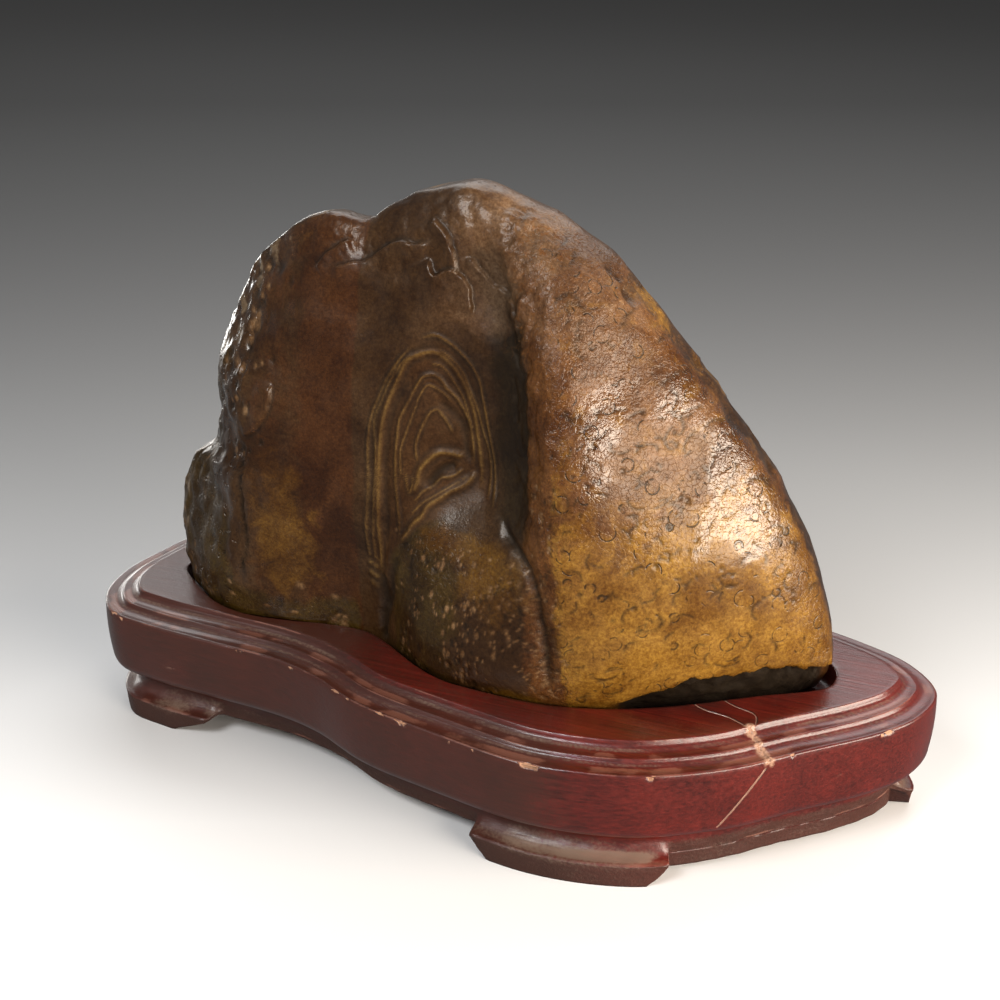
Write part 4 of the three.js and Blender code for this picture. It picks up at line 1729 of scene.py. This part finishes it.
        # iron veins and olive curls: the level lines of a noise, which wind as worm tracks do
        face = add("ShaderNodeMath", {0: mask["ochre"], 1: mask["mauve"]}, operation="ADD")
        curled = add("ShaderNodeMath", {0: mask["olive"], 1: mask["honey"]}, operation="ADD")
        lines = {}
        for name, width, where in (("vein", 0.035, mask["vein"]), ("curl", 0.03, curled)):
            winding = add("ShaderNodeMath", {0: noise[name], 1: 0.5}, operation="PINGPONG")
            lines[name] = add("ShaderNodeMapRange", {
                "Value": winding, "From Min": 0.5 - width, "From Max": 0.5, "To Max": where})

        # rims of old knocks: broken circles round scattered centres
        cells = add("ShaderNodeTexVoronoi", {"Vector": coords, "Scale": 1 / (self.nick_mm * MM)})
        ring = add("ShaderNodeMath", {0: cells, 1: 0.36}, operation="PINGPONG")
        broken = add("ShaderNodeMapRange", {
            "Value": noise["broken"], "From Min": 0.47, "From Max": 0.56, "To Max": face})
        knock = add("ShaderNodeMapRange", {
            "Value": ring, "From Min": 0.315, "From Max": 0.35, "To Max": broken})
        lines["knock"] = knock
        return lines

    def _layers(self, add: Callable, colour: bpy.types.NodeSocket, mask: Sockets, marks: Sockets,
                noise: Sockets) -> bpy.types.NodeSocket:
        """Lays wear and marks over the stains, then the shade of the grain.

        Args:
            add: adds a node to the material.
            colour: colour of the stained ground.
            mask: the mesh's masks by name.
            marks: what `_marks` gives.
            noise: the patterns by name.

        Returns:
            The colour.
        """
        nick = add("ShaderNodeMath", {0: mask["nick"], 1: marks["knock"]}, operation="MAXIMUM")
        layers = [
            # dull patches painted paler: worn wax, and a painted sheen of the key light
            (mask["dull"], 0.4, self.dull_and_sheen_colour), (marks["vein"], 0.8, self.vein_colour),
            (marks["curl"], 0.55, self.curl_colour),
            (nick, 0.75, self.nick_colour), (mask["ridge"], 0.75, self.ridge_colour),
            (mask["edge"], 0.6, self.edge_colour), (mask["pit"], 0.65, self.pit_colour),
            # pale pit floors are painted glints
            # the last layer is painted shade in grooves, beside the rings, under flake edges and under
            # the undercut
            (mask["bare"], 0.7, self.pit_glint_colour), (mask["dark"], 0.9, self.painted_shade_colour),
        ]
        for where, strength, code in layers:
            share = add("ShaderNodeMath", {0: where, 1: strength}, operation="MULTIPLY")
            colour = add("ShaderNodeMix", {0: share, 6: colour, 7: linear(code)},
                         data_type="RGBA")
        shades = [("speck", 0.62, 0.34, "#d6cab8"), ("grit", 0.60, 0.38, "#dcd4ca"),
                  ("cloud", 0.60, 0.40, "#bcae9a")]
        for name, start, end, code in shades:
            share = add("ShaderNodeMapRange", {
                "Value": noise[name], "From Min": start, "From Max": end})
            colour = add("ShaderNodeMix", {0: share, 6: colour, 7: linear(code)},
                         data_type="RGBA", blend_type="MULTIPLY")
        return colour

    def _skin(self, add: Callable, coords: bpy.types.NodeSocket, mask: Sockets, marks: Sockets,
              noise: Sockets) -> bpy.types.NodeSocket:
        """Relief too fine for the mesh.

        Args:
            add: adds a node to the material.
            coords: places on the rock.
            mask: the mesh's masks by name.
            marks: what `_marks` gives.
            noise: the patterns by name.

        Returns:
            The normal.
        """
        bend = add("ShaderNodeTexNoise", {
            "Vector": coords, "Scale": 1 / (self.bend_mm * MM), "Detail": 2.0}, take="Color")
        bent = add("ShaderNodeMix", {0: 0.0025, 6: coords, 7: bend}, data_type="RGBA",
                   blend_type="ADD")
        apart = add("ShaderNodeTexVoronoi", {
            "Vector": bent, "Scale": 1 / (self.crackle_mm * MM)}, feature="DISTANCE_TO_EDGE")
        crackle = add("ShaderNodeMapRange", {
            "Value": apart, "From Min": 0.12, "From Max": 0.0, "To Max": mask["crackle"]})
        pore = add("ShaderNodeMapRange", {
            "Value": noise["pore"], "From Min": 0.38, "From Max": 0.26, "To Max": mask["pores"]},
            interpolation_type="SMOOTHSTEP")
        coarse = add("ShaderNodeMath", {0: mask["crackle"], 1: 0.16, 2: 0.14},
                     operation="MULTIPLY_ADD")
        height = 0.0
        for value, amount in (
                (noise["pebble"], coarse), (noise["speck"], 0.06), (noise["grit"], 0.05),
                (crackle, -0.06), (marks["knock"], -0.10), (marks["vein"], 0.07), (marks["curl"], 0.05),
                (pore, -0.35)):
            height = add("ShaderNodeMath", {0: value, 1: amount, 2: height},
                         operation="MULTIPLY_ADD")
        return add("ShaderNodeBump", {"Height": height, "Strength": 1.0, "Distance": MM})


@dataclass(frozen=True)
class LacqueredHardwood:
    """Carved hardwood under many thin coats of oxblood lacquer.

    The lacquer is deep red-brown with the grain just showing, glossy on its broad surfaces,
    rubbed to brown at the edges and chipped to bare tan wood in places.
    """

    lacquer: str = "#66190f"
    deep: str = "#320d09"
    layers: tuple[tuple[str, str, float], ...] = (
        # the browner layer is painted shade on the stand's left
        # the pale edge layer is rubbed lacquer and a painted highlight
        ("rail", "#43291f", 0.75), ("umber", "#3b2319", 0.7), ("worn", "#a8705c", 0.3),
        # the pale dust layer is real dust on the feet and rails, and painted sheen in the moulding
        # coves
        ("dust", "#84705f", 0.6), ("split", "#1c0806", 0.9), ("crack", "#b48e7a", 0.7),
        ("filler", "#a9816a", 0.95), ("bare", "#b88a6c", 0.95))
    patterns: tuple[Pattern, ...] = (
        Pattern("cloud", 30.0, 4.0), Pattern("grit", 1.2, 3.0), Pattern("smear", 5.0, 4.0, 0.6))
    grain_mm: tuple[float, float] = (1.0, 40.0)  # across the boards and along them

    def make(self) -> bpy.types.Material:
        """Builds the finish.

        Returns:
            The material.
        """
        material, add = new_finish("oxblood_lacquered_hardwood")
        coords = add("ShaderNodeTexCoord", take="Object")
        fine, long = (1 / (size * MM) for size in self.grain_mm)
        board = add("ShaderNodeMapping", {"Vector": coords, "Scale": (long, fine, fine)})
        grain = add("ShaderNodeTexNoise", {
            "Vector": board, "Scale": 1.0, "Detail": 4.0, "Roughness": 0.65})
        noise = {pattern.name: add("ShaderNodeTexNoise", {
            "Vector": coords, "Scale": 1 / (pattern.grain_mm * MM), "Detail": pattern.detail,
            "Roughness": 0.6, "Distortion": pattern.distortion}) for pattern in self.patterns}
        mask = {name: add("ShaderNodeAttribute", attribute_name=name, take="Fac")
                for name, _, _ in self.layers}

        tone = 0.0
        for value, amount in ((grain, 0.6), (noise["cloud"], 0.5)):
            tone = add("ShaderNodeMath", {0: value, 1: amount, 2: tone},
                       operation="MULTIPLY_ADD")
        share = add("ShaderNodeMapRange", {"Value": tone, "From Min": 0.38, "From Max": 0.7})
        colour = add("ShaderNodeMix", {
            0: share, 6: linear(self.deep), 7: linear(self.lacquer)}, data_type="RGBA")
        for name, code, strength in self.layers:
            present = add("ShaderNodeMapRange", {
                "Value": mask[name], "From Min": 0.02, "From Max": 0.12, "To Max": strength})
            broken = add("ShaderNodeMath", {0: noise["grit"], 1: 0.7, 2: mask[name]},
                         operation="MULTIPLY_ADD")
            share = add("ShaderNodeMapRange", {
                "Value": broken, "From Min": 0.55, "From Max": 1.1, "To Max": present},
                interpolation_type="SMOOTHSTEP")
            colour = add("ShaderNodeMix", {0: share, 6: colour, 7: linear(code)},
                         data_type="RGBA")

        roughness = 0.17
        for value, amount in ((grain, 0.26), (noise["smear"], 0.1), (mask["dust"], 0.35),
                              (mask["bare"], 0.4), (mask["rail"], 0.15)):
            roughness = add("ShaderNodeMath", {0: value, 1: amount, 2: roughness},
                            operation="MULTIPLY_ADD")
        rough_rail = add("ShaderNodeMath", {0: mask["rail"], 1: 0.4, 2: 0.03},
                         operation="MULTIPLY_ADD")
        height = 0.0
        for value, amount in ((grain, 0.14), (noise["smear"], 0.05), (noise["grit"], rough_rail)):
            height = add("ShaderNodeMath", {0: value, 1: amount, 2: height},
                         operation="MULTIPLY_ADD")
        bump = add("ShaderNodeBump", {"Height": height, "Strength": 0.8, "Distance": MM})
        coat = 0.5
        for name in ("dust", "bare", "filler", "rail"):
            coat = add("ShaderNodeMath", {0: mask[name], 1: -0.5, 2: coat},
                       operation="MULTIPLY_ADD", use_clamp=True)
        shader = add("ShaderNodeBsdfPrincipled", {
            "Base Color": colour, "Roughness": roughness, "IOR": 1.5, "Normal": bump,
            "Coat Weight": coat, "Coat Roughness": 0.16, "Coat IOR": 1.5, "Coat Normal": bump})
        add("ShaderNodeOutputMaterial", {"Surface": shader})
        return material


@dataclass(frozen=True)
class PaperWithPaintedFalloff:
    """Matt paper with the light's fall-off painted in: white where the object stands, grey far behind.
    """

    facing: float = 22.0  # degrees to the left of +Y that the grey deepens towards
    white: float = 0.94  # share of light that the paper gives back where it is whitest
    deepest: float = 0.09  # share that the grey falls towards
    span: float = 0.72  # how much more than that it gives back at the object
    fall: float = 0.27  # metres in which what is left of the span falls to about a third
    lift: float = 0.075  # how much it lightens again, for each metre beyond `far`
    far: float = 1.3

    def make(self) -> bpy.types.Material:
        """Builds the finish.

        Returns:
            The material.
        """
        material, add = new_finish("graduated_paper")
        coords = add("ShaderNodeTexCoord", take="Object")
        turn = math.radians(self.facing)
        reach = add("ShaderNodeVectorMath", {0: coords, 1: (-math.sin(turn), math.cos(turn), 0.0)},
                    take="Value", operation="DOT_PRODUCT")
        falls = add("ShaderNodeMath", {0: reach, 1: -1 / self.fall}, operation="MULTIPLY")
        left = add("ShaderNodeMath", {0: falls}, operation="EXPONENT")
        near = add("ShaderNodeMath", {0: left, 1: self.span, 2: self.deepest},
                   operation="MULTIPLY_ADD")
        past = add("ShaderNodeMath", {0: reach, 1: self.far}, operation="SUBTRACT")
        beyond = add("ShaderNodeMath", {0: past, 1: 0.0}, operation="MAXIMUM")
        grey = add("ShaderNodeMath", {0: beyond, 1: self.lift, 2: near}, operation="MULTIPLY_ADD")
        colour = add("ShaderNodeMath", {0: grey, 1: self.white}, operation="MINIMUM")
        shader = add("ShaderNodeBsdfPrincipled", {
            "Base Color": colour, "Roughness": 0.9, "Specular IOR Level": 0.0})
        add("ShaderNodeOutputMaterial", {"Surface": shader})
        return material


# ---------------------------------------------------------------------------------------------
# Studio


@dataclass
class Softbox:
    """A rectangular soft light: where it is, what it looks at, its size and power."""

    name: str
    place: tuple[float, float, float]
    target: tuple[float, float, float]
    size: tuple[float, float]
    watts: float
    tint: str = "#ffffff"
    shine_only: bool = False  # seen in glossy surfaces, as a card is, without lighting matt ones

    def hang(self) -> None:
        """Puts the light in the scene."""
        light = bpy.data.lights.new(self.name, "AREA")
        light.shape = "RECTANGLE"
        light.size, light.size_y = self.size
        light.energy = self.watts
        light.color = linear(self.tint)[:3]
        lamp = bpy.data.objects.new(self.name, light)
        lamp.location = self.place
        lamp.visible_camera = False
        lamp.visible_diffuse = not self.shine_only
        aim = Vector(self.target) - Vector(self.place)
        lamp.rotation_euler = aim.to_track_quat("-Z", "Y").to_euler()
        bpy.context.scene.collection.objects.link(lamp)


@dataclass
class Studio:
    """Floor, lights and camera."""

    floor_half: float = 6.0
    camera_place: tuple[float, float, float] = (0.2102, -0.5079, 0.3630)
    camera_azimuth: float = 22.0  # degrees that it looks to the left of +Y
    camera_dip: float = 24.64  # degrees that it looks down
    lens_mm: float = 59.4
    sensor_mm: float = 36.0
    lights: tuple[Softbox, ...] = (
        Softbox("key_softbox", (0.95, -0.27, 0.36), (0.08, -0.01, 0.13), (1.1, 0.42), 20.0,
                "#fff2e2"),
        Softbox("back_softbox", (-0.25, 0.95, 1.15), (0.0, 0.0, 0.1), (1.9, 0.9), 14.0),
        Softbox("front_softbox", (-0.35, -1.1, 1.25), (0.0, -0.1, 0.05), (0.7, 0.5), 15.0),
        Softbox("left_strip", (-0.98, 0.72, 0.1), (-0.1, 0.0, 0.15), (0.9, 0.18), 5.0,
                "#f6f4f0", True),
        Softbox("window_strip", (-0.06, -1.15, 0.92), (0.03, -0.02, 0.18), (0.1, 0.3), 0.5,
                "#a2a4ff", True),
    )
    world_grey: str = "#8a8a8a"
    world_strength: float = 0.7

    def build(self) -> None:
        """Sets up the whole studio."""
        self._floor()
        for light in self.lights:
            light.hang()
        self._world()
        self._camera()
        scene = bpy.context.scene
        scene.view_settings.view_transform = "Standard"

    def _floor(self) -> None:
        """Lays the paper that the object stands on."""
        bm = bmesh.new()
        bmesh.ops.create_grid(bm, x_segments=24, y_segments=24, size=self.floor_half)
        floor = mesh_object("studio_floor", bm)
        # the floor's grey fall-off behind the object is painted light
        floor.data.materials.append(PaperWithPaintedFalloff().make())
        floor.visible_glossy = False

    def _world(self) -> None:
        """Fills the room with even grey light."""
        world = bpy.data.worlds.new("studio_room")
        world.use_nodes = True
        background = world.node_tree.nodes["Background"]
        background.inputs["Color"].default_value = linear(self.world_grey)
        background.inputs["Strength"].default_value = self.world_strength
        bpy.context.scene.world = world

    def _camera(self) -> None:
        """Looks at the object from the front right, a little above it."""
        data = bpy.data.cameras.new("camera")
        data.lens = self.lens_mm
        data.sensor_width = self.sensor_mm
        data.clip_start = 0.01
        camera = bpy.data.objects.new("camera", data)
        camera.location = self.camera_place
        camera.rotation_euler = (math.radians(90 - self.camera_dip), 0.0,
                                 math.radians(self.camera_azimuth))
        bpy.context.scene.collection.objects.link(camera)
        bpy.context.scene.camera = camera


# ---------------------------------------------------------------------------------------------
# Assembly


def plan_shift() -> np.ndarray:
    """Centres the stand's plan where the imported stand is.

    Returns:
        The shift, in millimetres.
    """
    low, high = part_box(CarvedStand.NODE)
    plan = spline(np.array(PLAN, float), closed=True, steps=60)
    middle = (plan.min(axis=0) + plan.max(axis=0)) / 2
    packed = (np.array(low) + np.array(high)) / 2 / MM
    return np.array([packed[0] - middle[0], packed[1] - middle[1], 0.0])


def main() -> None:
    """Builds the rock, the stand and the studio."""
    logging.basicConfig(level=logging.INFO, format="%(name)s %(message)s")
    shift = plan_shift()
    form = RockForm()
    rock = ScholarRock(form, shift).build()
    rock.data.materials.append(WaxedStone().make())
    stand = CarvedStand(form, shift).build()
    stand.data.materials.append(LacqueredHardwood().make())
    Studio().build()


if __name__ == "__main__":
    main()
